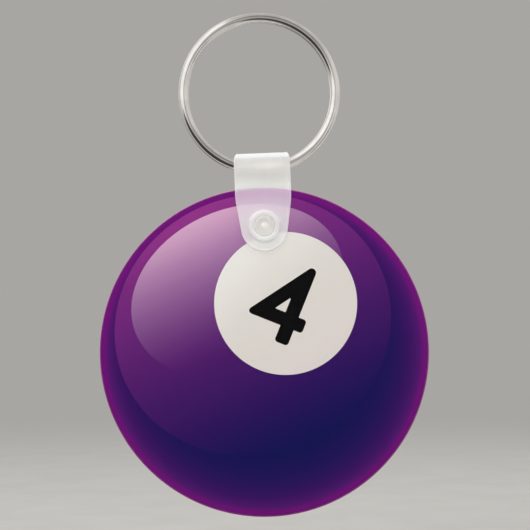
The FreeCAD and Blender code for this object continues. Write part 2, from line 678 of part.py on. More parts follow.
def sheen_ellipse(sketch):
    """The tilted oval of the pale sheen. Construction lines along its two
    half-axes carry its size and tilt."""
    long_half, short_half = size["sheen_long"], size["sheen_short"]
    tilt = math.radians(size["sheen_tilt"])
    x, y = -size["sheen_left"], size["sheen_up"]
    long_x, long_y = x + long_half * math.cos(tilt), y + long_half * math.sin(tilt)
    short_x, short_y = x - short_half * math.sin(tilt), y + short_half * math.cos(tilt)
    oval = sketch.addGeometry(
        Part.Ellipse(Vector(long_x, long_y, 0), Vector(short_x, short_y, 0),
                     Vector(x, y, 0)), False)
    long_axis = add_line(sketch, x, y, long_x, long_y, construction=True)
    short_axis = add_line(sketch, x, y, short_x, short_y, construction=True)
    relate(sketch, "Coincident",
           (long_axis, START, oval, CENTRE), (short_axis, START, oval, CENTRE))
    relate(sketch, "PointOnObject", (long_axis, END, oval), (short_axis, END, oval))
    relate(sketch, "Perpendicular", (long_axis, short_axis))
    at_x(sketch, oval, CENTRE, x, "sheen_across", "Dims.sheen_left")
    at_y(sketch, oval, CENTRE, y, "sheen_height", "Dims.sheen_up")
    bind(sketch, "sheen_long_half", "Dims.sheen_long", "Distance", long_axis, long_half)
    bind(sketch, "sheen_short_half", "Dims.sheen_short", "Distance", short_axis, short_half)
    bind(sketch, "sheen_tilt_angle", "Dims.sheen_tilt * 1deg",
         "Angle", X_AXIS, START, long_axis, START, tilt)


def rounded_loop(sketch, corners):
    """A closed, blocked loop of lines with arcs in its corners.
    corners lists (point, radius); a radius of 0 leaves the corner sharp."""
    longest_share = 0.45                 # most of a side that one rounding may use
    count = len(corners)
    roundings = []                       # arc's first point, last point, centre, radius
    for j, (point, radius) in enumerate(corners):
        if radius <= 0:
            roundings.append((point, point, None, 0))
            continue
        to_previous = corners[j - 1][0] - point
        to_next = corners[(j + 1) % count][0] - point
        shorter = min(to_previous.Length, to_next.Length)
        to_previous.normalize()
        to_next.normalize()
        half_angle = math.acos(max(-1, min(1, to_previous.dot(to_next)))) / 2
        setback = min(radius / math.tan(half_angle), longest_share * shorter)
        radius = setback * math.tan(half_angle)
        inward = (to_previous + to_next).normalize()
        centre = point + inward * (radius / math.sin(half_angle))
        roundings.append((point + to_previous * setback, point + to_next * setback,
                          centre, radius))

    chain = []                           # element, its first point, its last point
    for j, (first, last, centre, radius) in enumerate(roundings):
        if centre is not None:
            outward = (corners[j][0] - centre).normalize()
            arc = sketch.addGeometry(Part.Arc(first, centre + outward * radius, last), False)
            # a sketch may swap an arc's ends, as its arcs run counter-clockwise
            swapped = (sketch.Geometry[arc].StartPoint - first).Length > 1e-6
            chain.append((arc, END, START) if swapped else (arc, START, END))
        following = roundings[(j + 1) % count][0]
        line = add_line(sketch, last.x, last.y, following.x, following.y)
        chain.append((line, START, END))
    for j, (element, _, last_point) in enumerate(chain):
        following, first_point, _ = chain[(j + 1) % len(chain)]
        relate(sketch, "Coincident", (element, last_point, following, first_point))
    for element, _, _ in chain:
        relate(sketch, "Block", (element,))


def numeral_outline(sketch):
    """A plain figure 4, tilted clockwise: a stem, a cross bar and a slanting
    stroke that meet in two points, with rounded outer corners."""
    stem_right = size["stem_right"]
    stem_left = stem_right - size["stem_wide"]
    stem_low = -size["stem_bottom"]
    bar_low = -size["bar_bottom"]
    bar_high = bar_low + size["stroke"]
    bar_left, bar_right = -size["bar_left"], size["bar_right"]
    end_round = size["numeral_round"]
    # the slant's outer side runs from the left corner up to the stem's right side
    slant = math.radians(size["slant_angle"])
    slant_x, slant_y = math.cos(slant), math.sin(slant)
    apex = bar_low + (stem_right - bar_left) * math.tan(slant)
    # a point on the slant's inner side
    inner_x = bar_left + slant_y * size["stroke"]
    inner_y = bar_low - slant_x * size["stroke"]
    # where the slant's inner side meets the cross bar and the stem
    meet_bar_x = inner_x + (bar_high - inner_y) / slant_y * slant_x
    meet_stem_y = inner_y + (stem_left - inner_x) / slant_x * slant_y

    # across and up from the spot's centre before the tilt, corner radius
    outer = [
        (bar_left, bar_low, size["left_round"]),
        (stem_left, bar_low, 0),
        (stem_left, stem_low, end_round),
        (stem_right, stem_low, end_round),
        (stem_right, bar_low, 0),
        (bar_right, bar_low, end_round),
        (bar_right, bar_high, end_round),
        (stem_right, bar_high, 0),
        (stem_right, apex, size["apex_round"]),
    ]
    # the counter, the triangle left between the three strokes
    counter = [
        (meet_bar_x, bar_high, size["counter_round"]),
        (stem_left, bar_high, size["counter_round"]),
        (stem_left, meet_stem_y, size["counter_round"]),
    ]
    tilt = -math.radians(size["numeral_tilt"])
    cosine, sine = math.cos(tilt), math.sin(tilt)
    for loop in (outer, counter):
        rounded_loop(sketch, [
            (Vector(size["spot_right"] + x * cosine - y * sine,
                    size["spot_up"] + x * sine + y * cosine, 0), radius)
            for x, y, radius in loop])


def drilled_circle(sketch, tag, radius_expr, radius):
    """A round sheet's outline with the hole for the stud."""
    add_circle(sketch, tag, radius_expr, 0, 0, radius)
    hole_circle(sketch)


def drawn(body, name, offset_expr, draw):
    """A sketch parallel to the disc, filled in by draw."""
    sketch = new_sketch(body, name, "XZ_Plane", offset_expr=offset_expr)
    draw(sketch)
    return sketch


def disc_core():
    """White core."""
    body = new_body("disc_core")
    sketch = new_sketch(body, "core_outline", "XZ_Plane")
    drilled_circle(sketch, "disc", "Dims.disc_r", size["disc_r"])
    pad(body, "core_sheet", sketch, "Dims.core_thick", midplane=True)
    place_on_disc(body, 0.0)
    return body


def print_purple(side):
    """Purple field, with the recess for the spot and the sheen."""
    body = new_body(f"{side}_print_purple")
    sketch = new_sketch(body, side + "_field_outline", "XZ_Plane", offset_expr=PRINT_BACK)
    drilled_circle(sketch, "field", "Dims.disc_r - Dims.seal_rim",
                   size["disc_r"] - size["seal_rim"])
    field = pad(body, side + "_field_sheet", sketch, "Dims.print_thick")
    sketch = drawn(body, side + "_spot_recess_circle", PRINT_FACE, spot_circle)
    recess = pocket(body, field, side + "_spot_recess", sketch, "Dims.inlay_thick",
                    least=60.0)
    sketch = drawn(body, side + "_sheen_recess_oval", PRINT_FACE, sheen_ellipse)
    pocket(body, recess, side + "_sheen_recess", sketch, "Dims.inlay_thick", least=60.0)
    return body


def print_sheen(side):
    """Pale sheen round the spot."""
    body = new_body(f"{side}_print_sheen")
    through = "Dims.inlay_thick + Dims.ink_overcut"
    sketch = drawn(body, side + "_sheen_oval", INLAY_BACK, sheen_ellipse)
    ink = pad(body, side + "_sheen_ink", sketch, "Dims.inlay_thick")
    sketch = drawn(body, side + "_sheen_spot_circle", PRINT_FACE, spot_circle)
    cut = pocket(body, ink, side + "_sheen_spot_cut", sketch, through, least=20.0)
    sketch = drawn(body, side + "_sheen_hole_circle", PRINT_FACE, hole_circle)
    pocket(body, cut, side + "_sheen_hole", sketch, through, least=1.0)
    return body


def print_white_spot(side):
    """White spot, with the recess for the numeral."""
    body = new_body(f"{side}_print_white_spot")
    sketch = drawn(body, side + "_spot_circle", INLAY_BACK, spot_circle)
    ink = pad(body, side + "_spot_ink", sketch, "Dims.inlay_thick")
    sketch = drawn(body, side + "_spot_hole_circle", PRINT_FACE, hole_circle)
    cut = pocket(body, ink, side + "_spot_hole", sketch,
                 "Dims.inlay_thick + Dims.ink_overcut", least=0.05)
    sketch = drawn(body, side + "_numeral_recess_outline", PRINT_FACE, numeral_outline)
    pocket(body, cut, side + "_numeral_recess", sketch, "Dims.numeral_thick", least=3.0)
    return body


def print_numeral(side):
    body = new_body(f"{side}_print_numeral")
    sketch = drawn(body, side + "_numeral_outline", NUMERAL_BACK, numeral_outline)
    pad(body, side + "_numeral_ink", sketch, "Dims.numeral_thick")
    return body


def clear_film(side):
    """Clear film: a flat sheet with a lip that seals the print's edge."""
    body = new_body(f"{side}_clear_film")
    sketch = new_sketch(body, side + "_film_outline", "XZ_Plane", offset_expr=PRINT_BACK)
    drilled_circle(sketch, "disc", "Dims.disc_r", size["disc_r"])
    film = pad(body, side + "_film_sheet", sketch, "Dims.print_thick + Dims.film_thick")
    sketch = new_sketch(body, side + "_film_relief_circle", "XZ_Plane",
                        offset_expr=PRINT_FACE)
    add_circle(sketch, "relief", "Dims.disc_r - Dims.seal_rim", 0, 0,
               size["disc_r"] - size["seal_rim"])
    relief = pocket(body, film, side + "_film_relief", sketch,
                    "Dims.print_thick + Dims.relief_overcut", least=300.0)
    round_rim(body, side + "_film_rounding", relief, size["disc_r"], -disc_half,
              "Dims.film_round")
    return body


# --------------------------------------------------------------------- build
nodes = [split_ring(), front_leg(), back_leg(), disc_core()]
for side, half_turn in (("front", 0.0), ("back", 180.0)):
    for make_layer in (print_purple, print_sheen, print_white_spot, print_numeral,
                       clear_film):
        layer = make_layer(side)
        place_on_disc(layer, half_turn)
        nodes.append(layer)
doc.recompute()

# -------------------------------------------------------------------- export
failed = []
for item in doc.Objects:
    states = [str(state) for state in item.State]
    if "Invalid" in states or "Error" in states:
        failed.append((item.Name, states))
if failed:
    raise RuntimeError(f"objects failed: {failed!r}")
for body in nodes:
    if body.Shape.isNull() or not body.Shape.isValid():
        raise RuntimeError(f"{body.Label} has no valid shape")
for body in nodes:
    body.Shape.exportStep(f"parts/{body.Label}.step")
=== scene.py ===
"""A round printed tag on a split ring, held by a moulded strap with a snap.

The ring's centre is the origin, the disc hangs below it (-Z), and the front
face looks toward -Y. The shapes are worked out in millimetres and become
metres (MM) where vertices are made.
"""

import json
import math

import bpy
import bmesh
import numpy as np
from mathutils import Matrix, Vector
from mathutils.geometry import delaunay_2d_cdt


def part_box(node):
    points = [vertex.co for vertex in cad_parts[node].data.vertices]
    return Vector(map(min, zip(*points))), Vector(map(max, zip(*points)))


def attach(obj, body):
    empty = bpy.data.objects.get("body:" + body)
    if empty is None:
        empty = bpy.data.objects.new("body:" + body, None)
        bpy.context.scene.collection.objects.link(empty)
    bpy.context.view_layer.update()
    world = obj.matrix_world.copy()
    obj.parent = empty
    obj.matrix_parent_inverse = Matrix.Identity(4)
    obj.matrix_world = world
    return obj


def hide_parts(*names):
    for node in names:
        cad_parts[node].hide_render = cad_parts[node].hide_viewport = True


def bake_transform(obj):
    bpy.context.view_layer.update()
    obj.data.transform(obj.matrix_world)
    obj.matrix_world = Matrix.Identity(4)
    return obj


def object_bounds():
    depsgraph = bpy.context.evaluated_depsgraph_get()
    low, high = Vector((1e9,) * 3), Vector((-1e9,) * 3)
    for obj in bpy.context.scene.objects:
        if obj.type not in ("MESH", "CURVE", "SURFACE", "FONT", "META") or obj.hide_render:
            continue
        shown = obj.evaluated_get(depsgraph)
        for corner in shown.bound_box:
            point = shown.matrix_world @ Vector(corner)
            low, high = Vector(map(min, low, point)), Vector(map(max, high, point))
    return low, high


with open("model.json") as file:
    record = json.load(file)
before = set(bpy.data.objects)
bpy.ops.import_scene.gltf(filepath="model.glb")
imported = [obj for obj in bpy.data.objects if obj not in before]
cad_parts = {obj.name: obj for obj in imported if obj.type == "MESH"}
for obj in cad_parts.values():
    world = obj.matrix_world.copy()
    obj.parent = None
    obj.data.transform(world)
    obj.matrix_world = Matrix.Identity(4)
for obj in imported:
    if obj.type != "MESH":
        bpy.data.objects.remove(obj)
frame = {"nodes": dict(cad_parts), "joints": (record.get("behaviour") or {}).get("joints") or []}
CAD_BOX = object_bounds()

MM = 0.001
nodes = frame["nodes"]
joint = {j["name"]: j for j in frame["joints"]}

# --------------------------------------------------------------------------
# places, all read from the frame
# --------------------------------------------------------------------------
low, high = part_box("disc_core")
DISC = (low + high) / 2                    # centre of the disc
DISC_R = (high.x - low.x) / 2
DISC_R_MM = DISC_R / MM
low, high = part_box("split_ring")
RING_R = (high.x - low.x) / 2
RING_Y = high.y                            # half the depth of the two turns
FOLD = Vector(joint["strap_swing"]["pos_m"])      # centre of the strap's fold
SNAP = Vector(joint["disc_swivel"]["pos_m"])      # the snap, on the disc's mid-plane
UP = (FOLD - SNAP).normalized()            # along the strap
RIGHT = Vector((UP.z, 0.0, -UP.x))         # across the strap
FRONT_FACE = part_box("front_clear_film")[0].y
MIDDLE = (Vector(CAD_BOX[0]) + Vector(CAD_BOX[1])) / 2


# --------------------------------------------------------------------------
# shader helpers
# --------------------------------------------------------------------------
def linear(colour):
    """A 0..255 display colour as scene-linear RGBA."""
    out = []
    for value in colour:
        value = value / 255.0
        out.append(value / 12.92 if value <= 0.04045 else ((value + 0.055) / 1.055) ** 2.4)
    return (*out, 1.0)


def grey(value):
    return (value, value, value, 1)


class Nodes:
    """The node tree of a material or a world, with short calls for its nodes."""

    def __init__(self, owner, output="OutputMaterial"):
        owner.use_nodes = True
        self.owner = owner
        self.tree = owner.node_tree
        self.tree.nodes.clear()
        self.output = self.node(output)

    def put(self, socket, value):
        if isinstance(value, bpy.types.NodeSocket):
            self.tree.links.new(value, socket)
        else:
            socket.default_value = value

    def node(self, kind, props=None, **inputs):
        """A new node. Underscores in an input's name stand for spaces."""
        made = self.tree.nodes.new("ShaderNode" + kind)
        for name, value in (props or {}).items():
            setattr(made, name, value)
        for name, value in inputs.items():
            self.put(made.inputs[name.replace("_", " ")], value)
        return made

    def shader(self, kind, **inputs):
        return self.node(kind, **inputs).outputs[0]

    def math(self, operation, *values, clamp=False):
        made = self.node("Math", {"operation": operation, "use_clamp": clamp})
        for i, value in enumerate(values):
            self.put(made.inputs[i], value)
        return made.outputs[0]

    def add(self, first, second):
        return self.math("ADD", first, second)

    def sub(self, first, second):
        return self.math("SUBTRACT", first, second)

    def mul(self, first, second, clamp=False):
        return self.math("MULTIPLY", first, second, clamp=clamp)

    def squares(self, first, second):
        return self.add(self.mul(first, first), self.mul(second, second))

    def length(self, first, second):
        return self.math("SQRT", self.squares(first, second))

    def step(self, value, over, to=(0.0, 1.0)):
        """Smooth step of the value across the range over, mapped onto the range to."""
        made = self.node("MapRange", {"interpolation_type": "SMOOTHSTEP"}, Value=value,
                         From_Min=over[0], From_Max=over[1], To_Min=to[0], To_Max=to[1])
        return made.outputs[0]

    def mix(self, factor, first, second, blend="MIX"):
        made = self.node("Mix", {"data_type": "RGBA", "blend_type": blend, "clamp_factor": True})
        self.put(made.inputs[0], factor)
        self.put(made.inputs[6], first)
        self.put(made.inputs[7], second)
        return made.outputs[2]

    def mix_value(self, factor, first, second):
        made = self.node("Mix", {"data_type": "FLOAT"})
        self.put(made.inputs[0], factor)
        self.put(made.inputs[2], first)
        self.put(made.inputs[3], second)
        return made.outputs[0]

    def mix_shader(self, factor, first, second):
        made = self.node("MixShader")
        for i, value in enumerate((factor, first, second)):
            self.put(made.inputs[i], value)
        return made.outputs[0]

    def ramp(self, value, stops, over):
        """Colour ramp across the range over; stops are (position, 0..255 colour)."""
        start, end = over
        share = self.node("MapRange", Value=value, From_Min=start, From_Max=end)
        made = self.node("ValToRGB")
        made.color_ramp.interpolation = "LINEAR"
        elements = made.color_ramp.elements
        for i, (position, colour) in enumerate(stops):
            place = (position - start) / (end - start)
            element = elements[i] if i < 2 else elements.new(place)
            element.position = place
            element.color = linear(colour)
        self.put(made.inputs[0], share.outputs[0])
        return made.outputs[0]

    def position(self):
        return self.node("TexCoord").outputs["Object"]

    def split(self, vector):
        """The x, y and z of a vector."""
        made = self.node("SeparateXYZ")
        self.put(made.inputs[0], vector)
        return made.outputs

    def combine(self, x, y, z):
        return self.shader("CombineXYZ", X=x, Y=y, Z=z)

    def stretched(self, axes, factors):
        return self.combine(*[self.mul(axis, factor) for axis, factor in zip(axes, factors)])

    def attribute(self, name):
        return self.node("Attribute", {"attribute_name": name}).outputs["Fac"]

    def noise(self, vector, scale, detail=2.0, rough=0.5):
        return self.shader("TexNoise", Vector=vector, Scale=scale, Detail=detail,
                           Roughness=rough)

    def bump(self, height, strength, distance):
        return self.shader("Bump", Height=height, Strength=strength, Distance=distance)

    def surface(self, shader):
        self.put(self.output.inputs["Surface"], shader)
        return self.owner


def new_material(name):
    return Nodes(bpy.data.materials.new(name))


def assign(ob, material):
    ob.data.materials.clear()
    ob.data.materials.append(material)


# --------------------------------------------------------------------------
# mesh helpers
# --------------------------------------------------------------------------
def new_object(name, verts, faces):
    """A smooth-shaded mesh object with its normals pointing outward."""
    mesh = bpy.data.meshes.new(name)
    mesh.from_pydata([tuple(v) for v in verts], [], [tuple(f) for f in faces])
    mesh.validate()
    ob = bpy.data.objects.new(name, mesh)
    bpy.context.scene.collection.objects.link(ob)
    work = bmesh.new()
    work.from_mesh(mesh)
    bmesh.ops.recalc_face_normals(work, faces=work.faces)
    work.to_mesh(mesh)
    work.free()
    mesh.polygons.foreach_set("use_smooth", [True] * len(mesh.polygons))
    mesh.update()
    return ob


def add_values(ob, name, values):
    """Store one number per vertex."""
    attribute = ob.data.attributes.new(name, "FLOAT", "POINT")
    attribute.data.foreach_set("value", np.array(values, np.float32))


def arc_points(x, y, radius, start, end, steps):
    """Points of an arc, both ends included; angles in degrees."""
    angles = [math.radians(start + (end - start) * k / steps) for k in range(steps + 1)]
    return [(x + radius * math.cos(a), y + radius * math.sin(a)) for a in angles]


def circle(x, y, radius, count, turn=0.0):
    """Points of a circle, turned by a share of one step."""
    angles = [2 * math.pi * (i + turn) / count for i in range(count)]
    return [(x + radius * math.cos(a), y + radius * math.sin(a)) for a in angles]


def loop_edges(start, count):
    return [(start + i, start + (i + 1) % count) for i in range(count)]


def bridge(faces, first, second):
    """Join two closed loops of vertices; a loop of one vertex makes a fan."""
    count = max(len(first), len(second))
    for i in range(count):
        j = (i + 1) % count
        if len(first) == 1:
            faces.append((first[0], second[i], second[j]))
        elif len(second) == 1:
            faces.append((first[i], first[j], second[0]))
        else:
            faces.append((first[i], first[j], second[j], second[i]))


def loft(faces, loops):
    for first, second in zip(loops[:-1], loops[1:]):
        bridge(faces, first, second)


def triangulate(points, edges, hole, hole_radius):
    """Flat triangulation that keeps the edges and leaves the round hole open.
    Returns the points, the faces and each point's sources."""
    flat, _, found, sources, _, _ = delaunay_2d_cdt(
        [Vector(p) for p in points], edges, [], 1, 1e-6)
    kept = []
    for face in found:
        centre = sum((flat[i] for i in face), Vector((0, 0))) / len(face)
        if math.hypot(centre.x - hole[0], centre.y - hole[1]) >= hole_radius * 0.999:
            kept.append(face)
    return flat, kept, sources


# --------------------------------------------------------------------------
# split ring: one wire, two turns, a crossing and two cut ends (mm, degrees)
# --------------------------------------------------------------------------
WIRE_W = 1.65          # across the ring
WIRE_CORNER = 0.5      # corner radius
WIRE_CROWN = 1.5       # crown radius
WIRE_SIDE = 0.1414     # flat height of the sides
WIRE_H = 1.25
TURN_Y = RING_Y / MM - WIRE_H / 2          # each turn's offset from the middle
CUT_FRONT, CROSS_START, CROSS_END, CUT_BACK = -90.0, 250.0, 268.0, 608.0
CUT_SHRINK = 0.90      # the wire's section at a cut end, as a share of the full one
CUT_CHAMFER = 0.05     # length of the chamfer along the wire


def wire_profile():
    """Closed profile (radial, axial) about the wire's centre."""
    side = WIRE_SIDE / 2
    corner_x = WIRE_W / 2 - WIRE_CORNER
    rise = math.sqrt((WIRE_CROWN - WIRE_CORNER) ** 2 - corner_x ** 2)
    meet = math.degrees(math.atan2(rise, corner_x))      # where corner and crown meet
    crown_y = side - rise
    arcs = [(corner_x, side, WIRE_CORNER, 0, meet, 9),
            (0, crown_y, WIRE_CROWN, meet, 180 - meet, 14),
            (-corner_x, side, WIRE_CORNER, 180 - meet, 180, 9),
            (-corner_x, -side, WIRE_CORNER, 180, 180 + meet, 9),
            (0, -crown_y, WIRE_CROWN, 180 + meet, 360 - meet, 14),
            (corner_x, -side, WIRE_CORNER, 360 - meet, 360, 9)]
    return [point for arc in arcs for point in arc_points(*arc)[:-1]]


def build_ring():
    profile = wire_profile()
    middle = RING_R / MM - WIRE_W / 2
    steps = np.concatenate([np.arange(CUT_FRONT, CROSS_START, 1.0),
                            np.arange(CROSS_START, CROSS_END, 0.5),
                            np.arange(CROSS_END, CUT_BACK + 0.5, 1.0)])
    # sections (angle, size, shift along the wire); the end ones repeat, shrunk, as a chamfer
    sections = [(steps[0], CUT_SHRINK, 0.0), (steps[0], 1.0, CUT_CHAMFER)]
    sections += [(angle, 1.0, 0.0) for angle in steps[1:-1]]
    sections += [(steps[-1], 1.0, -CUT_CHAMFER), (steps[-1], CUT_SHRINK, 0.0)]
    verts, faces, along, loops = [], [], [], []
    for degrees, size, shift in sections:
        share = min(1.0, max(0.0, (degrees - CROSS_START) / (CROSS_END - CROSS_START)))
        y = -TURN_Y + 2 * TURN_Y * (share * share * (3 - 2 * share))
        angle = math.radians(degrees) + shift / middle
        loops.append(range(len(verts), len(verts) + len(profile)))
        for radial, axial in profile:
            radius = middle + radial * size
            verts.append((radius * math.cos(angle) * MM, (y + axial * size) * MM,
                          radius * math.sin(angle) * MM))
            along.append(math.radians(degrees) * middle)
    loft(faces, loops)
    for loop, degrees in ((loops[0], CUT_FRONT), (loops[-1], CUT_BACK)):
        verts.append(tuple(np.mean(np.array([verts[i] for i in loop]), axis=0)))
        along.append(math.radians(degrees) * middle)
        bridge(faces, loop, [len(verts) - 1])
    ob = new_object("split_ring_wire", verts, faces)
    # keep the end caps crisp
    for face in ob.data.polygons:
        if len(face.vertices) == 3:
            face.use_smooth = False
    add_values(ob, "along", along)
    return ob


# --------------------------------------------------------------------------
# strap: one moulded band, folded over the ring, with the collar and the pad.
# It is laid out flat in (s, x): s is the length from the top of the fold,
# positive down the front leg and negative down the back one, x is across, and
# n is the height outward from the middle of the thickness (all mm).
# --------------------------------------------------------------------------
THICK = 0.62
LOOP_R = 1.70          # inside radius of the fold
LOOP_Z = (FOLD - SNAP).length / MM         # centre of the fold above the snap
LEG_IN = 1.135         # inner face of a leg from the middle of the disc
BEND_Z = 7.3           # height of the bend's inner corner above the snap
BEND_R = 6.0           # radius of the bend's middle line
HALF_W = 4.85
WAIST = 0.42           # how much narrower each side is at the top of the fold
WAIST_LENGTH = 1.15
WAIST_END = 4.5
TAPER_Z = 4.7          # height where the taper starts
TAPER_SOFT = 1.2       # softening to each side of that corner
TIP_R = 4.05
TIP_DROP = 0.32        # centre of the tip's circle below the snap
PATH_END = 0.6         # how far the middle line runs on past the tip
EDGE = 0.20            # rounding of the band's edges
LIP = 0.05             # the outer face's moulded lip, over the face inside it
LIP_IN = 0.15          # width of the lip's inner slope
FAT_R = 2.78           # the collar and the pad count as thick inside this radius
NOT_FRONT = -99.0      # the "across" value away from the front leg
PATH_FOLD, PATH_SLANT, PATH_BEND, PATH_LEG = 60, 20, 12, 90    # points in each part


def strap_path():
    """Middle line of the band from the top of the fold down one leg:
    arrays s, y, z and the outward direction (ny, nz)."""
    radius = LOOP_R + THICK / 2
    drop = BEND_Z - LOOP_Z
    # where the fold's arc ends and the slanted part leaves it
    leave = math.atan2(drop, LEG_IN) + math.acos(LOOP_R / math.hypot(LEG_IN, drop))
    points = []
    for k in range(PATH_FOLD):
        a = math.pi / 2 + (leave - math.pi / 2) * k / PATH_FOLD
        points.append((radius * math.cos(a), LOOP_Z + radius * math.sin(a)))
    start = (radius * math.cos(leave), LOOP_Z + radius * math.sin(leave))
    slant = (math.sin(leave), -math.cos(leave))
    leg_y = LEG_IN + THICK / 2
    slant_length = (leg_y - start[0]) / slant[0]
    corner = (leg_y, start[1] + slant_length * slant[1])
    # the bend is an arc tangent to both straight parts
    cut = BEND_R * math.tan(abs(leave) / 2)
    end = (corner[0] - slant[0] * cut, corner[1] - slant[1] * cut)
    for k in range(PATH_SLANT):
        share = k / PATH_SLANT
        points.append((start[0] + (end[0] - start[0]) * share,
                       start[1] + (end[1] - start[1]) * share))
    # the bend's centre is on the outer side of the leg
    centre_y, centre_z = leg_y + BEND_R, corner[1] - cut
    for k in range(PATH_BEND):
        a = abs(leave) * (1 - k / PATH_BEND)
        points.append((centre_y - BEND_R * math.cos(a), centre_z + BEND_R * math.sin(a)))
    for z in np.linspace(centre_z, -(TIP_R + TIP_DROP) - PATH_END, PATH_LEG):
        points.append((leg_y, float(z)))
    points = np.array(points)
    lengths = np.hypot(*(points[1:] - points[:-1]).T)
    s = np.concatenate([[0], np.cumsum(lengths)])
    tangent = np.gradient(points, s, axis=0)
    tangent /= np.linalg.norm(tangent, axis=1)[:, None]
    tangent[0] = (1, 0)
    return s, points[:, 0], points[:, 1], -tangent[:, 1], tangent[:, 0]


PATH_S, PATH_Y, PATH_Z, PATH_NY, PATH_NZ = strap_path()
# length from the top of the fold to the snap
S_SNAP = float(np.interp(0.0, -PATH_Z[PATH_FOLD:], PATH_S[PATH_FOLD:]))


def path_value(s, column):
    return float(np.interp(abs(s), PATH_S, column))


def on_strap(s, x, n):
    """A point of the band in metres."""
    side = -1.0 if s >= 0 else 1.0
    y = side * (path_value(s, PATH_Y) + n * path_value(s, PATH_NY))
    z = path_value(s, PATH_Z) + n * path_value(s, PATH_NZ)
    return SNAP + (RIGHT * x + Vector((0, y, 0)) + UP * z) * MM


def taper_end():
    """(x, z) where the straight taper touches the tip's circle."""
    rise = TAPER_Z + TIP_DROP
    angle = math.atan2(rise, HALF_W) - math.acos(TIP_R / math.hypot(HALF_W, rise))
    return TIP_R * math.cos(angle), -TIP_DROP + TIP_R * math.sin(angle)


TAPER_END_X, TAPER_END_Z = taper_end()


def half_width(s):
    """Half of the band's width, with the waist, the taper and the round tip."""
    if abs(s) < WAIST_END:
        return HALF_W - WAIST * math.exp(-(abs(s) / WAIST_LENGTH) ** 2)
    z = path_value(s, PATH_Z)
    narrowing = TAPER_END_X - HALF_W
    fall = TAPER_Z - TAPER_END_Z
    if abs(z - TAPER_Z) < TAPER_SOFT:
        into = TAPER_Z + TAPER_SOFT - z
        return HALF_W + narrowing / fall * into * into / (4 * TAPER_SOFT)
    if z >= TAPER_Z:
        return HALF_W
    if z >= TAPER_END_Z:
        return HALF_W + narrowing * (TAPER_Z - z) / fall
    return math.sqrt(max(TIP_R ** 2 - (z + TIP_DROP) ** 2, 0.0))


def outline():
    """Closed outline of the unrolled band, clockwise in (s, x)."""
    # the round tips are sampled by angle, the rest by length
    tip_start = S_SNAP + 1.5
    body = np.arange(-tip_start, tip_start + 1e-6, 0.22)
    tip_steps = 28
    centre = S_SNAP + TIP_DROP
    first = math.asin(min(1.0, (tip_start - centre) / TIP_R))
    tip = []
    for k in range(1, tip_steps + 1):
        a = first + (math.pi / 2 - first) * k / tip_steps
        tip.append((centre + TIP_R * math.sin(a), TIP_R * math.cos(a)))
    tip_back = tip[-2::-1]
    points = [(float(s), half_width(s)) for s in body]
    points += tip + [(s, -x) for s, x in tip_back]
    points += [(float(s), -half_width(s)) for s in body[::-1]]
    points += [(-s, -x) for s, x in tip] + [(-s, x) for s, x in tip_back]
    return np.array(points)


def inset(loop, distance):
    """The closed clockwise loop moved inwards."""
    tangent = np.roll(loop, -1, axis=0) - np.roll(loop, 1, axis=0)
    tangent /= np.linalg.norm(tangent, axis=1)[:, None]
    return loop + np.stack([tangent[:, 1], -tangent[:, 0]], axis=1) * distance


# relief of the front collar and of the back pad: (radius, height over the leg)
COLLAR = (arc_points(1.95, 0.68, 0.10, 180, 90, 4)
          + [(2.04, 0.80), (2.18, 0.815), (2.34, 0.815)]
          + arc_points(2.46, 0.555, 0.25, 90, 0, 6)
          + [(2.712, 0.34), (2.728, 0.20), (2.765, 0.11), (2.83, 0.05), (2.93, 0.015),
             (3.06, 0.0)])
PAD = ([(0.25, 0.43), (0.6, 0.43), (1.0, 0.425), (1.5, 0.415), (1.95, 0.405), (2.2, 0.4)]
       + arc_points(2.38, 0.18, 0.22, 90, 0, 5)
       + [(2.615, 0.08), (2.65, 0.03), (2.70, 0.008), (2.78, 0.0), (2.9, 0.0)])
# the same places on the inner faces, which are flat
INNER_HOLE = [(radius, 0.0) for radius in (1.85, 1.98, 2.2, 2.5, 2.8)]
INNER_PAD = [(radius, 0.0) for radius in (0.4, 0.9, 1.4, 1.9, 2.4, 2.8)]

GRID_S, GRID_X = 0.21, 0.30                # steps of the plain faces' grid
GRID_HALF = 4.8
GRID_TIP = 1.4                             # past the snap, where the tip's circle bounds it
GRID_FROM_EDGE, GRID_FROM_RELIEF = 0.10, 0.12


def lift_of(s, x):
    """Height over the snap; below the fold it is measured along the disc's round edge."""
    z = path_value(s, PATH_Z)
    share = min(1.0, max(0.0, (9.0 - z) / 1.5))
    return z + share * x * x / (2 * DISC_R_MM)


class Band:
    """The band's mesh as it grows, with its numbers for the finish:
    fat (thick plastic behind the point), rim (rounded edge), lift and across."""

    def __init__(self):
        self.verts, self.faces = [], []
        self.values = {"fat": [], "rim": [], "lift": [], "across": []}

    def add(self, s, x, n, fat=0.0, rim=0.0):
        self.verts.append(on_strap(s, x, n))
        point = {"fat": fat, "rim": rim, "lift": lift_of(s, x),
                 "across": x if s > 0 else NOT_FRONT}
        for name, value in point.items():
            self.values[name].append(value)
        return len(self.verts) - 1


def plain_points(margin, reliefs):
    """Grid points of a face, kept off the outline and the reliefs."""
    points = []
    end = S_SNAP + TIP_R + TIP_DROP
    for s in np.arange(-math.floor(end / GRID_S) * GRID_S, end, GRID_S):
        half = half_width(s)
        for x in np.arange(-GRID_HALF, GRID_HALF + 0.01, GRID_X):
            if abs(s) > S_SNAP + GRID_TIP:
                inside = TIP_R - math.hypot(abs(s) - S_SNAP - TIP_DROP, x) - EDGE
            else:
                inside = half - EDGE - abs(x)
            if inside < margin:
                continue
            if any(math.hypot(s - centre, x) < profile[-1][0] + GRID_FROM_RELIEF
                   for centre, profile, _ in reliefs):
                continue
            points.append((float(s), float(x)))
    return points


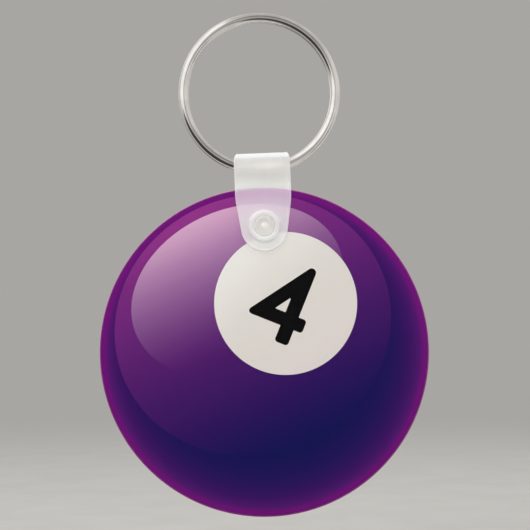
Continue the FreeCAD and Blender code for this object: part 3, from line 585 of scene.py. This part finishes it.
def fill_face(band, out, border, side, front_relief, back_relief):
    """Fill one face of the band inside the border's vertices; side is 1 for the
    outer face and -1 for the inner. Returns the vertices round the snap's hole."""
    points, ids, heights, fats = [], [], [], []

    def add(new, height=0.0, fat=0.0, vertices=None):
        start = len(points)
        points.extend(new)
        ids.extend(vertices or [None] * len(new))
        heights.extend([height] * len(new))
        fats.extend([fat] * len(new))
        return start

    count = len(out)
    add([tuple(p) for p in inset(out, EDGE)], vertices=border)
    edges = loop_edges(0, count)
    margin = GRID_FROM_EDGE
    if side > 0:
        # the lip's slope down to the plain face
        margin += LIP_IN
        for share, height in ((0.5, LIP * 0.5), (1.0, 0.0)):
            start = add([tuple(p) for p in inset(out, EDGE + LIP_IN * share)], height)
            edges += loop_edges(start, count)
    reliefs = [(S_SNAP, front_relief, True), (-S_SNAP, back_relief, False)]
    for centre, profile, bored in reliefs:
        if not bored:
            add([(centre, 0.0)], profile[0][1], fat=1.0)
        for q, (radius, height) in enumerate(profile):
            around = 96 if radius > 1.2 else (48 if radius > 0.5 else 24)
            start = add(circle(centre, 0.0, radius, around, turn=0.5 * (q % 2)), height,
                        fat=1.0 if radius < FAT_R else 0.0)
            if bored and q == 0:
                hole = range(start, start + around)
                edges += loop_edges(start, around)
    add(plain_points(margin, reliefs))

    flat, found, sources = triangulate(points, edges, (S_SNAP, 0.0), front_relief[0][0])
    vertices = []
    for (s, x), source in zip(flat, sources):
        first = source[0] if len(source) else None
        if first is None:
            vertices.append(band.add(s, x, side * THICK / 2))
            continue
        if ids[first] is None:
            ids[first] = band.add(s, x, side * THICK / 2 + side * heights[first],
                                  fat=fats[first])
        vertices.append(ids[first])
    band.faces += [tuple(vertices[i] for i in face) for face in found]
    return [ids[i] for i in hole]


def build_strap():
    out = outline()
    band = Band()
    # the rounded edge (inset, n) from the outer face round to the inner face
    edge = []
    for k in range(6):
        a = math.radians(90 * k / 5)
        edge.append((EDGE * (1 - math.sin(a)),
                     THICK / 2 - EDGE * (1 - math.cos(a)) + LIP * math.cos(a)))
    for k in range(6):
        a = math.radians(90 - 90 * k / 5)
        edge.append((EDGE * (1 - math.sin(a)), -(THICK / 2 - EDGE * (1 - math.cos(a)))))
    loops = []
    for q, (distance, n) in enumerate(edge):
        rim = min(1.0, min(q, len(edge) - 1 - q) / 3.0) ** 1.5
        loops.append([band.add(s, x, n, rim=rim) for s, x in inset(out, distance)])
    loft(band.faces, loops)
    outer_hole = fill_face(band, out, loops[0], 1, COLLAR, PAD)
    inner_hole = fill_face(band, out, loops[-1], -1, INNER_HOLE, INNER_PAD)
    bridge(band.faces, outer_hole, inner_hole)
    ob = new_object("strap_band", band.verts, band.faces)
    for name, values in band.values.items():
        add_values(ob, name, values)
    return ob


# --------------------------------------------------------------------------
# stud of the snap
# --------------------------------------------------------------------------
# (radius, y from the disc's mid-plane), mm, from the back to the front
STUD = [
    # shank
    (0.0, 1.30), (1.90, 1.30), (1.95, 1.20), (1.95, -1.02), (1.93, -1.08), (1.88, -1.095),
    # neck
    (1.52, -1.10), (1.48, -1.14), (1.47, -1.30), (1.48, -1.46), (1.52, -1.52),
    # underside and side of the head
    (1.68, -1.60), (1.79, -1.66), (1.81, -1.74), (1.81, -1.86),
    # crowned rim and a shallow dish
    (1.795, -1.95), (1.74, -2.02), (1.64, -2.065), (1.51, -2.09), (1.38, -2.10),
    (1.25, -2.10), (1.12, -2.085), (0.98, -2.065), (0.85, -2.055), (0.74, -2.06),
    # soft nub in the middle
    (0.65, -2.085), (0.57, -2.135), (0.50, -2.20), (0.43, -2.27), (0.35, -2.325),
    (0.26, -2.36), (0.15, -2.38), (0.0, -2.385)]
STUD_AROUND = 72
NUB_R, NUB_FADE = 0.95, 0.6    # the nub counts as thick and is painted lighter, a painted highlight, fading out at this radius


def build_stud():
    verts, faces, loops = [], [], []
    for radius, y in STUD:
        around = STUD_AROUND if radius > 0 else 1
        loops.append(range(len(verts), len(verts) + around))
        for x, z in circle(0.0, 0.0, radius, around):
            verts.append(SNAP + (RIGHT * x + UP * z + Vector((0, y, 0))) * MM)
    loft(faces, loops)
    ob = new_object("snap_stud", verts, faces)
    fat = []
    for vertex in ob.data.vertices:
        offset = vertex.co - SNAP
        radius = math.hypot(offset.x, offset.z) / MM
        fat.append(min(1.0, max(0.0, (NUB_R - radius) / NUB_FADE)))
    add_values(ob, "fat", fat)
    add_values(ob, "across", [NOT_FRONT] * len(fat))
    return ob


# --------------------------------------------------------------------------
# clear films (mm)
# --------------------------------------------------------------------------
FILM_GAP = 0.012       # clearance, so that two faces are never in one plane
FILM_ROUND = 0.14      # rounding of the rim
FILM_TUCK = 0.19       # width of the rim that closes over the print's edge
FILM_HOLE_R = 2.03
FILM_AROUND, FILM_HOLE_AROUND = 240, 72
FILM_GRID, FILM_GRID_HALF, FILM_CLEAR = 1.4, 28, 0.7


def build_film(name, side):
    """A thin round sheet with a rolled rim and the snap's hole; side -1 is the front."""
    low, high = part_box("front_clear_film")
    face = abs(low.y) / MM                      # outer face
    lip = abs(high.y) / MM + FILM_GAP           # where the rim meets the core
    under = abs(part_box("front_print_purple")[0].y) / MM + FILM_GAP
    hole_x, hole_z = (SNAP.x - DISC.x) / MM, (SNAP.z - DISC.z) / MM
    # rim and hole profiles (radius, distance from the mid-plane), outer face first
    rim = [(DISC_R_MM - FILM_ROUND + FILM_ROUND * math.sin(math.radians(a)),
            face - FILM_ROUND + FILM_ROUND * math.cos(math.radians(a)))
           for a in range(0, 91, 15)]
    rim += [(DISC_R_MM, lip + 0.03), (DISC_R_MM - 0.01, lip), (DISC_R_MM - FILM_TUCK, lip),
            (DISC_R_MM - FILM_TUCK, under)]
    hole = [(FILM_HOLE_R + 0.05, face), (FILM_HOLE_R + 0.02, face - 0.008),
            (FILM_HOLE_R + 0.004, face - 0.025), (FILM_HOLE_R, face - 0.05),
            (FILM_HOLE_R, under)]
    verts, faces = [], []

    def add(x, y, z):
        verts.append(DISC + Vector((x, side * y, z)) * MM)
        return len(verts) - 1

    rim_loops = [[add(x, y, z) for x, z in circle(0, 0, radius, FILM_AROUND)]
                 for radius, y in rim]
    hole_loops = [[add(x, y, z) for x, z in circle(hole_x, hole_z, radius, FILM_HOLE_AROUND)]
                  for radius, y in hole]
    loft(faces, rim_loops)
    loft(faces, hole_loops)

    grid = np.arange(-FILM_GRID_HALF, FILM_GRID_HALF + 0.1, FILM_GRID)
    for end in (0, -1):                         # the outer face, then the underside
        radius, y = rim[end]
        hole_radius = hole[end][0]
        ids = rim_loops[end] + hole_loops[end]
        points = circle(0, 0, radius, FILM_AROUND)
        points += circle(hole_x, hole_z, hole_radius, FILM_HOLE_AROUND)
        edges = loop_edges(0, FILM_AROUND) + loop_edges(FILM_AROUND, FILM_HOLE_AROUND)
        for x in grid:
            for z in grid:
                if (math.hypot(x, z) < radius - FILM_CLEAR
                        and math.hypot(x - hole_x, z - hole_z) > hole_radius + FILM_CLEAR):
                    points.append((float(x), float(z)))
                    ids.append(add(x, y, z))
        _, found, sources = triangulate(points, edges, (hole_x, hole_z), hole_radius)
        faces += [tuple(ids[sources[i][0]] for i in f) for f in found]
    return new_object(name, verts, faces)


# --------------------------------------------------------------------------
# metal and frosted plastic
# --------------------------------------------------------------------------
def ring_material():
    mat = new_material("ring_metal")
    place = mat.position()
    x, y, z = mat.split(place)
    radius = mat.length(x, z)
    along = mat.mul(mat.math("ARCTAN2", z, x), RING_R)
    # drawn lines: long along the wire, fine across it, at a slight slant
    length, width, slant = 2.6 * MM, 0.11 * MM, 0.9 * MM
    across = mat.add(mat.mul(radius, 1 / width), mat.mul(along, 1 / slant))
    lines = mat.noise(mat.combine(mat.mul(along, 1 / length), across, mat.mul(y, 1 / width)),
                      scale=1.0, rough=0.6)
    cloud = mat.noise(place, scale=420.0, detail=3.0, rough=0.55)
    fine = mat.noise(place, scale=5200.0)
    light, dull, line = (0.80, 0.785, 0.765, 1), (0.70, 0.69, 0.68, 1), (0.50, 0.49, 0.48, 1)
    colour = mat.mix(mat.step(cloud, over=(0.35, 0.68)), light, dull)
    colour = mat.mix(mat.step(lines, over=(0.52, 0.75), to=(0.0, 0.35)), colour, line)
    line_rough, line_height, fine_height = 0.05, 1.0, 0.03
    rough = mat.add(mat.mul(lines, line_rough),
                    mat.step(cloud, over=(0.3, 0.9), to=(0.03, 0.06)))
    height = mat.add(mat.mul(lines, line_height), mat.mul(fine, fine_height))
    return mat.surface(mat.shader(
        "BsdfPrincipled", Base_Color=colour, Metallic=1.0, Roughness=rough,
        Normal=mat.bump(height, strength=0.05, distance=0.005 * MM)))


LIFT_RANGE = (-5.0, 13.0)      # heights over the snap covered by the ramps, mm


def painted_glow_patch(mat, lift):
    """Mask of a painted glow: 1 at the middle of a soft oval on the front leg, under the fold,
    and 0 far from it.
    """
    centre_x, half_x = 1.6, 3.4                # mm across the leg
    centre_z, half_z = 10.05, 0.80             # mm over the snap
    x = mat.math("DIVIDE", mat.sub(mat.attribute("across"), centre_x), half_x)
    z = mat.math("DIVIDE", mat.sub(lift, centre_z), half_z)
    return mat.math("POWER", 2.718, mat.mul(-1.0, mat.squares(x, z)))


def milky_material(name, colours, shares, fat_colour, fat_share, soft=0.0):
    """Frosted see-through plastic. Against the height over the snap (mm), colours is the
    colour, with any painted highlight and shade along the strap, and shares how much
    of a layer is milky, and the rest is clear. Thick parts and the rounded edges are
    milkier, and the rounded edges are painted a light pinkish white, a painted highlight.
    fat_colour is the thick parts' colour; on the stud it paints the nub lighter, a painted
    highlight. soft is the least subsurface weight."""
    mat = new_material(name)
    place = mat.position()
    axes = mat.split(place)
    backfacing = mat.node("NewGeometry").outputs["Backfacing"]
    fat, rim, lift = [mat.attribute(key) for key in ("fat", "rim", "lift")]
    # 0 face on, 1 edge on
    facing = mat.node("LayerWeight", Blend=0.5).outputs["Facing"]
    cloud = mat.noise(place, scale=330.0)
    grain = mat.noise(place, scale=9000.0, detail=3.0, rough=0.6)
    flow = mat.noise(mat.stretched(axes, (900.0, 900.0, 220.0)), scale=1.0)

    # colour ramp along the strap, which carries its painted highlight and painted shade
    colour = mat.ramp(lift, colours, over=LIFT_RANGE)
    colour = mat.mix(mat.step(cloud, over=(0.3, 0.7), to=(0.0, 0.5)), colour,
                     mat.mix(1.0, colour, grey(0.96), "MULTIPLY"))
    colour = mat.mix(mat.step(flow, over=(0.45, 0.8), to=(0.0, 0.25)), colour, grey(0.93))
    # painted glow: where the wire's bright reflection would show through the fold, the plastic
    # is painted lighter and warmer
    glow_strength = 0.62
    colour = mat.mix(mat.mul(painted_glow_patch(mat, lift), glow_strength), colour,
                     linear((252, 249, 241)))
    # thick parts take fat_colour; on the stud, where fat marks the nub, this paints a highlight
    # on the nub
    colour = mat.mix(fat, colour, linear(fat_colour))
    # painted highlight: the rounded edges are painted a light pinkish white, as if they caught
    # the light
    colour = mat.mix(rim, colour, linear((250, 242, 247)))

    # the ramp holds display values, so that the milky share is read back linear
    share = mat.ramp(lift, [(p, (v * 255,) * 3) for p, v in shares], over=LIFT_RANGE)
    share = mat.math("POWER", share, 1 / 2.2)
    rim_share, edge_on_share = 0.86, 0.97
    share = mat.mix_value(fat, share, fat_share)
    share = mat.add(share, mat.step(cloud, over=(0.3, 0.7), to=(-0.015, 0.015)))
    share = mat.mix_value(rim, share, rim_share)
    share = mat.mix_value(mat.step(facing, over=(0.25, 0.95)), share, edge_on_share)

    cloud_height, grain_height = 3.0, 0.25
    height = mat.add(mat.mul(cloud, cloud_height), mat.mul(grain, grain_height))
    plastic = mat.shader(
        "BsdfPrincipled", Base_Color=colour, IOR=1.45,
        Roughness=mat.step(grain, over=(0.2, 0.8), to=(0.26, 0.42)),
        Normal=mat.bump(height, strength=0.16, distance=0.03 * MM),
        Subsurface_Weight=mat.math("MAXIMUM", fat, soft),
        Subsurface_Radius=(1.0, 0.98, 0.96), Subsurface_Scale=1.6 * MM)
    glow = mat.shader("BsdfTranslucent", Color=colour)
    thin_glow, thick_glow = 0.14, 0.08         # translucent part of the milky layer
    thick = mat.math("MAXIMUM", fat, rim)
    body = mat.mix_shader(mat.mix_value(thick, thin_glow, thick_glow), plastic, glow)
    clear = mat.shader("BsdfTransparent", Color=(0.99, 0.985, 0.99, 1))
    # light gets through the frosted plastic more easily than sight does
    shadow_loss = 0.90
    shadow = mat.node("LightPath").outputs["Is Shadow Ray"]
    share = mat.mul(share, mat.sub(1.0, mat.mul(shadow, shadow_loss)))
    share = mat.mul(share, mat.sub(1.0, backfacing), clamp=True)
    return mat.surface(mat.mix_shader(share, clear, body))


# --------------------------------------------------------------------------
# printed artwork: (position, display colour) along each gradient, with
# positions as shares of the disc's radius
# --------------------------------------------------------------------------
RIM = [(0.60, (24, 24, 82)), (0.64, (25.5, 23.8, 82.9)), (0.68, (28.3, 23.7, 84.4)),
       (0.72, (31.1, 23.5, 86)), (0.76, (34.8, 24, 87.4)), (0.80, (40.9, 24.2, 89.6)),
       (0.84, (47.9, 23.8, 92)), (0.88, (57.3, 23.8, 96)), (0.90, (63.5, 24.4, 98.7)),
       (0.92, (70, 26, 101.9)), (0.94, (78.9, 26.6, 105.8)), (0.95, (88, 26, 109)),
       (0.96, (98.5, 25.4, 112.5)), (0.97, (107.5, 24.4, 117)), (0.98, (112.5, 25, 119)),
       (1.0, (117, 27, 122))]
GLOSS = [(-0.60, (24, 24, 83)), (-0.5, (30.5, 24, 86)), (-0.4, (39, 24, 89)),
         (-0.3, (47, 24, 91.5)), (-0.2, (55, 26, 94)), (-0.1, (63, 27.5, 97)),
         (0.0, (70, 29, 100)), (0.1, (78, 31, 104)), (0.2, (86, 33.5, 107.5)),
         (0.3, (93.5, 35.5, 111)), (0.4, (102, 38.5, 116)), (0.5, (109, 41, 120)),
         (0.6, (115, 43, 123)), (0.7, (122, 44, 124)), (0.8, (132, 48, 131)),
         (0.9, (142, 53, 134)), (1.0, (148, 55, 138))]
SHEEN = [(0.0, (70, 29, 100)), (0.1, (79, 31, 104)), (0.2, (92, 41, 113)),
         (0.3, (106.5, 57.5, 122)), (0.4, (122, 73.5, 133)), (0.5, (137, 90, 144)),
         (0.6, (154, 108, 156)), (0.7, (172, 127, 170)), (0.8, (193, 149, 184)),
         (0.9, (212, 166, 197)), (1.0, (226, 182, 208))]
SPOT = [(-0.3, (215, 208, 204)), (-0.2, (218, 210, 206)), (0.1, (217, 212, 206)),
        (0.25, (219, 215, 209)), (0.32, (223, 219, 213)), (0.40, (226, 222, 217)),
        (0.47, (229, 226, 221)), (0.6, (231, 229, 223))]
SEAL = [(0.990, (114, 28, 122)), (0.9958, (120, 36, 121)), (0.9985, (172, 98, 140)),
        (1.0, (190, 130, 160))]
GLOSS_ANGLE, SPOT_ANGLE = 115, 130     # directions of the gradients, degrees from the right


def disc_coords(mat, sign):
    """Position, and the place on the disc's face as shares of its radius: right and
    up, as seen from that face. sign is 1 for the front and -1 for the back."""
    place = mat.position()
    x, _, z = mat.split(place)
    return (place, mat.mul(mat.sub(x, DISC.x), sign / DISC_R),
            mat.mul(mat.sub(z, DISC.z), 1.0 / DISC_R))


def toward_angle(mat, right, up, degrees):
    angle = math.radians(degrees)
    return mat.add(mat.mul(right, math.cos(angle)), mat.mul(up, math.sin(angle)))


def ellipse(mat, right, up, centre, long_axis, short_axis, tilt):
    """1 on the ellipse's line, less inside; mm from the disc's centre, tilt in degrees."""
    cos, sin = math.cos(math.radians(tilt)), math.sin(math.radians(tilt))
    right = mat.sub(right, centre[0] / DISC_R_MM)
    up = mat.sub(up, centre[1] / DISC_R_MM)
    along = mat.add(mat.mul(right, cos * DISC_R_MM / long_axis),
                    mat.mul(up, sin * DISC_R_MM / long_axis))
    across = mat.add(mat.mul(right, -sin * DISC_R_MM / short_axis),
                     mat.mul(up, cos * DISC_R_MM / short_axis))
    return mat.length(along, across)


def ink(mat, place, colour, rough=0.38):
    """Printed ink under the clear film: a trace of print grain, no gloss of its own."""
    grain = mat.noise(place, scale=14000.0, rough=0.6)
    mottle = mat.noise(place, scale=900.0, detail=3.0, rough=0.55)
    change = mat.add(mat.step(grain, over=(0.25, 0.75), to=(-0.016, 0.016)),
                     mat.step(mottle, over=(0.3, 0.7), to=(-0.008, 0.008)))
    factor = mat.add(1.0, change)
    colour = mat.mix(1.0, colour, mat.combine(factor, factor, factor), "MULTIPLY")
    return mat.surface(mat.shader(
        "BsdfPrincipled", Base_Color=colour, Roughness=rough, Specular_IOR_Level=0.0,
        Normal=mat.bump(grain, strength=0.04, distance=0.01 * MM)))


def purple_material(name, sign):
    mat = new_material(name)
    place, right, up = disc_coords(mat, sign)
    rim = mat.ramp(mat.length(right, up), RIM, over=(0.55, 1.0))
    gloss = mat.ramp(toward_angle(mat, right, up, GLOSS_ANGLE), GLOSS, over=(-0.65, 1.0))
    oval = ellipse(mat, right, up, centre=(-2.015, 4.750), long_axis=24.275,
                   short_axis=22.319, tilt=23.09)
    return ink(mat, place, mat.mix(mat.step(oval, over=(0.996, 1.004)), gloss, rim))


def sheen_material(name, sign):
    mat = new_material(name)
    place, right, up = disc_coords(mat, sign)
    slope = toward_angle(mat, right, up, GLOSS_ANGLE)
    return ink(mat, place, mat.ramp(slope, SHEEN, over=(-0.1, 1.0)))


def spot_material(name, sign):
    mat = new_material(name)
    place, right, up = disc_coords(mat, sign)
    slope = toward_angle(mat, right, up, SPOT_ANGLE)
    return ink(mat, place, mat.ramp(slope, SPOT, over=(-0.35, 0.7)))


def black_material(name):
    mat = new_material(name)
    place = mat.position()
    cloud = mat.noise(place, scale=1800.0, detail=3.0, rough=0.6)
    colour = mat.mix(mat.step(cloud, over=(0.3, 0.7)), linear((17, 17, 17)),
                     linear((20, 19, 20)))
    return ink(mat, place, colour, rough=0.42)


def core_material():
    mat = new_material("core_white")
    place = mat.position()
    cloud = mat.noise(place, scale=500.0, detail=3.0, rough=0.55)
    # fine lines round the cut edge, left by the cutter
    cut = mat.noise(mat.stretched(mat.split(place), (60.0, 26000.0, 60.0)), scale=1.0,
                    detail=3.0, rough=0.6)
    colour = mat.mix(mat.step(cloud, over=(0.3, 0.7)), linear((236, 234, 230)),
                     linear((228, 226, 224)))
    colour = mat.mix(mat.step(cut, over=(0.5, 0.8), to=(0.0, 0.4)), colour,
                     linear((212, 208, 208)))
    return mat.surface(mat.shader(
        "BsdfPrincipled", Base_Color=colour, IOR=1.49,
        Roughness=mat.step(cut, over=(0.3, 0.7), to=(0.30, 0.48)),
        Normal=mat.bump(cut, strength=0.18, distance=0.02 * MM), Subsurface_Weight=0.25,
        Subsurface_Radius=(0.9, 0.8, 0.85), Subsurface_Scale=0.6 * MM))


def hair_scratches(mat, right, up):
    """Noise stretched in two directions; the lone constants pick the noise's slice."""
    upright = mat.noise(mat.combine(mat.mul(right, 14.0), 3.7, mat.mul(up, 900.0)),
                        scale=1.0, rough=0.4)
    slanted = mat.noise(mat.combine(mat.mul(mat.add(right, up), 700.0), 8.1,
                                    mat.mul(mat.sub(right, up), 9.0)), scale=1.0, rough=0.4)
    return mat.math("MAXIMUM", mat.step(upright, over=(0.70, 0.78)),
                    mat.step(slanted, over=(0.71, 0.79)))


def film_material():
    """Clear gloss film: see-through, with a clean gloss, and milky at its sealed rim."""
    mat = new_material("clear_film")
    place, right, up = disc_coords(mat, 1.0)
    geometry = mat.node("NewGeometry")
    front = mat.sub(1.0, geometry.outputs["Backfacing"])
    radius = mat.length(right, up)
    wave = mat.noise(place, scale=120.0)
    dust = mat.noise(place, scale=2600.0, detail=4.0, rough=0.7)
    scratches = hair_scratches(mat, right, up)
    base_rough, scratch_rough = 0.035, 0.16
    rough = mat.add(mat.add(base_rough, mat.step(dust, over=(0.55, 0.85), to=(0.0, 0.05))),
                    mat.mul(scratches, scratch_rough))
    wave_height, scratch_height = 1.0, -0.015
    height = mat.add(mat.mul(wave, wave_height), mat.mul(scratches, scratch_height))
    gloss = mat.shader("BsdfAnisotropic", Color=grey(1), Roughness=rough,
                       Normal=mat.bump(height, strength=0.10, distance=0.05 * MM))
    clear = mat.shader("BsdfTransparent", Color=grey(0.992))
    facing = mat.node("LayerWeight", Blend=0.5).outputs["Facing"]
    shine = mat.mul(mat.shader("Fresnel", IOR=1.47), mat.step(facing, over=(0.012, 0.16)))
    body = mat.mix_shader(mat.mul(shine, front, clamp=True), clear, gloss)
    # the ink's colour bleeds out into the seal, and only its outermost part is pale
    seal = mat.ramp(radius, SEAL, over=(0.99, 1.002))
    milk = mat.shader("BsdfPrincipled", Base_Color=seal, Roughness=0.3, IOR=1.47)
    edge = mat.step(radius, over=(0.9922, 0.9932), to=(0.0, 0.93))
    # less milky on the side wall, where the print's edge shows through
    normal_y = mat.split(geometry.outputs["True Normal"])[1]
    edge = mat.mul(edge, mat.step(mat.math("ABSOLUTE", normal_y), over=(0.05, 0.5),
                                  to=(0.30, 1.0)))
    return mat.surface(mat.mix_shader(mat.mul(edge, front, clamp=True), body, milk))


# --------------------------------------------------------------------------
# build the pieces
# --------------------------------------------------------------------------
ring = build_ring()
assign(ring, ring_material())
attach(ring, "ring")
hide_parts("split_ring")

# (height over the snap in mm, display colour), with painted light along the strap:
# a painted highlight on the top of the fold, painted shade just below it, and a
# painted pink cast of the print's colour where the printed disc lies behind the leg
STRAP_COLOUR_AND_PAINTED_LIGHT = [
    (-4.0, (252, 252, 249)), (-1.5, (255, 253, 253)), (1.9, (255, 254, 253)),
    (3.6, (253, 243, 253)), (4.4, (252, 238, 252)), (5.4, (252, 228, 249)),
    (6.3, (251, 228, 248)), (6.8, (227, 228, 225)), (8.0, (228, 229, 225)),
    (9.0, (223, 223, 219)), (9.5, (224, 224, 220)), (9.9, (227, 227, 222)),
    (10.27, (228, 228, 223)), (10.6, (221, 221, 217)), (10.95, (213, 213, 209)),
    (11.3, (208, 208, 205)), (11.6, (211, 211, 208)), (11.85, (236, 237, 238)),
    (12.3, (246, 248, 250))]
# (height over the snap in mm, milky share)
STRAP_SHARES = [(-4.0, 0.62), (3.0, 0.61), (6.3, 0.60), (6.8, 0.70), (7.4, 0.74),
                (10.0, 0.84), (12.2, 0.86)]

strap = build_strap()
assign(strap, milky_material("strap_plastic", STRAP_COLOUR_AND_PAINTED_LIGHT, STRAP_SHARES,
                             fat_colour=(230, 231, 228), fat_share=0.84))
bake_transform(strap)
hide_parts("strap_back_leg", "strap_front_leg")

stud = build_stud()
# the stud's fat_colour paints its nub lighter: a painted highlight
assign(stud, milky_material(
    "stud_plastic", colours=[(-4.0, (219, 216, 213)), (12.2, (219, 216, 213))],
    shares=[(-4.0, 0.86), (12.2, 0.86)], fat_colour=(232, 229, 225), fat_share=0.88,
    soft=0.7))
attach(stud, "strap")

for face, sign in (("front", 1.0), ("back", -1.0)):
    assign(nodes[face + "_print_purple"], purple_material(face + "_purple", sign))
    assign(nodes[face + "_print_sheen"], sheen_material(face + "_sheen", sign))
    assign(nodes[face + "_print_white_spot"], spot_material(face + "_spot", sign))
    assign(nodes[face + "_print_numeral"], black_material(face + "_black"))
film = film_material()
for face, side in (("front", -1.0), ("back", 1.0)):
    sheet = build_film(face + "_gloss_film", side)
    assign(sheet, film)
    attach(sheet, "disc")
    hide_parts(face + "_clear_film")
assign(nodes["disc_core"], core_material())

# --------------------------------------------------------------------------
# stage: pale floor that fades away, soft light (metres)
# --------------------------------------------------------------------------
scene = bpy.context.scene
scene.view_settings.view_transform = "Standard"
scene.view_settings.look = "None"
scene.view_settings.exposure = 0.0
scene.view_settings.gamma = 1.0

PALE = (168, 166, 163)      # the background, as a display colour
FLOOR_R = 1.6
FLOOR_DROP = 0.020          # below the lowest point


def floor_material():
    mat = new_material("floor_pale")
    place = mat.position()
    x, y, _ = mat.split(place)
    cloud = mat.noise(place, scale=60.0, detail=3.0)
    colour = mat.mix(mat.step(cloud, over=(0.3, 0.7)), linear((176, 174, 170)),
                     linear((172, 170, 166)))
    pale = mat.shader("BsdfPrincipled", Base_Color=colour, Roughness=0.75,
                      Specular_IOR_Level=0.15)
    fade = mat.step(mat.length(x, y), over=(0.10, 0.45))
    return mat.surface(mat.mix_shader(fade, pale, mat.shader("BsdfTransparent")))


def build_floor():
    work = bmesh.new()
    bmesh.ops.create_circle(work, cap_ends=True, segments=96, radius=FLOOR_R)
    mesh = bpy.data.meshes.new("floor")
    work.to_mesh(mesh)
    work.free()
    floor = bpy.data.objects.new("floor", mesh)
    scene.collection.objects.link(floor)
    floor.location = (MIDDLE.x, 0, CAD_BOX[0][2] - FLOOR_DROP)
    assign(floor, floor_material())
    floor.visible_glossy = False


def tone(value):
    """A slightly warm grey."""
    return (value * 1.035, value * 1.0, value * 0.96, 1)


ROOM_FRONT, ROOM_BACK = tone(0.767), tone(0.693)
# soft round patches of the room, as shiny surfaces see it, later ones over earlier:
# (turn: 0 right and 90 up as seen from the front, tilt away from straight out of the
# face, radius of the full patch, radius where it has faded, all degrees; colour)
PATCHES = [
    (228, 68, 18.8, 72.9, tone(0.509)),            # wide, lower left
    (126, 38, 13.5, 42.4, (1.25, 1.23, 1.21, 1)),  # big soft box, upper left
    (73, 52, 26.3, 34.7, tone(0.586)),             # above, a little to the right
    (-84, 8, 13.3, 13.8, tone(0.413)),             # sharp-edged, just below the middle
    (234, 32, 22.4, 28.6, tone(0.052)),            # dark gap, lower left
    (76, 19, 6.4, 16.1, tone(0.269)),              # just above the middle
    (328, 45, 2.2, 22.8, tone(0.285)),             # lower right
    (284, 63, 0.5, 44.3, tone(0.642))]             # wide, low down


def patch_mask(tree, axes, turn, tilt, full, faded):
    turn, tilt = math.radians(turn), math.radians(tilt)
    aim = (math.sin(tilt) * math.cos(turn), -math.cos(tilt), math.sin(tilt) * math.sin(turn))
    x, y, z = [tree.mul(axis, part) for axis, part in zip(axes, aim)]
    return tree.step(tree.add(tree.add(x, y), z),
                     over=(math.cos(math.radians(faded)), math.cos(math.radians(full))))


def build_world():
    world = bpy.data.worlds.new("studio")
    scene.world = world
    tree = Nodes(world, "OutputWorld")
    x, y, z = tree.split(tree.node("TexCoord").outputs["Generated"])
    # the patches repeat behind the tag, so that the back has its gloss too
    folded = tree.mul(tree.math("ABSOLUTE", y), -1.0)
    room = tree.mix(tree.step(y, over=(-0.1, 0.7)), ROOM_FRONT, ROOM_BACK)
    for *shape, colour in PATCHES:
        room = tree.mix(patch_mask(tree, (x, folded, z), *shape), room, colour)
    # other rays get an even light, and the camera sees the plain background
    rays = tree.node("LightPath").outputs
    seen = tree.mix(rays["Is Glossy Ray"], grey(0.62), room)
    seen = tree.mix(rays["Is Camera Ray"], seen, linear(PALE))
    tree.surface(tree.shader("Background", Color=seen))


def area(name, place, size, power, colour=(1, 1, 1)):
    """A round lamp aimed at the middle of the product and unseen in reflections."""
    lamp = bpy.data.lights.new(name, "AREA")
    lamp.shape = "DISK"
    lamp.size = size
    lamp.energy = power
    lamp.color = colour
    ob = bpy.data.objects.new(name, lamp)
    scene.collection.objects.link(ob)
    ob.location = place
    ob.visible_glossy = False
    ob.rotation_euler = (MIDDLE - Vector(place)).to_track_quat("-Z", "Y").to_euler()


def build_camera():
    """Level with the tag, straight at its printed face."""
    seen_width = 0.0918914                     # at the disc's face
    shift_x, shift_z = 0.000108, -0.000045     # aim, from the middle of the product
    camera = bpy.data.cameras.new("camera")
    camera.lens = 120.0
    camera.sensor_width = 36.0
    camera.clip_start = 0.01
    camera.clip_end = 10.0
    ob = bpy.data.objects.new("camera", camera)
    scene.collection.objects.link(ob)
    reach = seen_width * camera.lens / camera.sensor_width
    target = Vector((MIDDLE.x + shift_x, FRONT_FACE, MIDDLE.z + shift_z))
    ob.location = target + Vector((0, -reach, 0))
    ob.rotation_euler = (math.pi / 2, 0, 0)
    scene.camera = ob


build_floor()
build_world()
area("key", place=(-0.30, -0.55, 0.34), size=0.34, power=2.24)
area("top", place=(-0.06, -0.10, 0.50), size=0.22, power=0.75, colour=(0.97, 0.985, 1.0))
area("fill", place=(0.42, -0.40, 0.10), size=0.40, power=0.7, colour=(1.0, 0.985, 0.96))
area("back_key", place=(0.34, 0.55, 0.34), size=0.34, power=2.3)
area("back_fill", place=(-0.42, 0.40, 0.10), size=0.40, power=0.7)
build_camera()
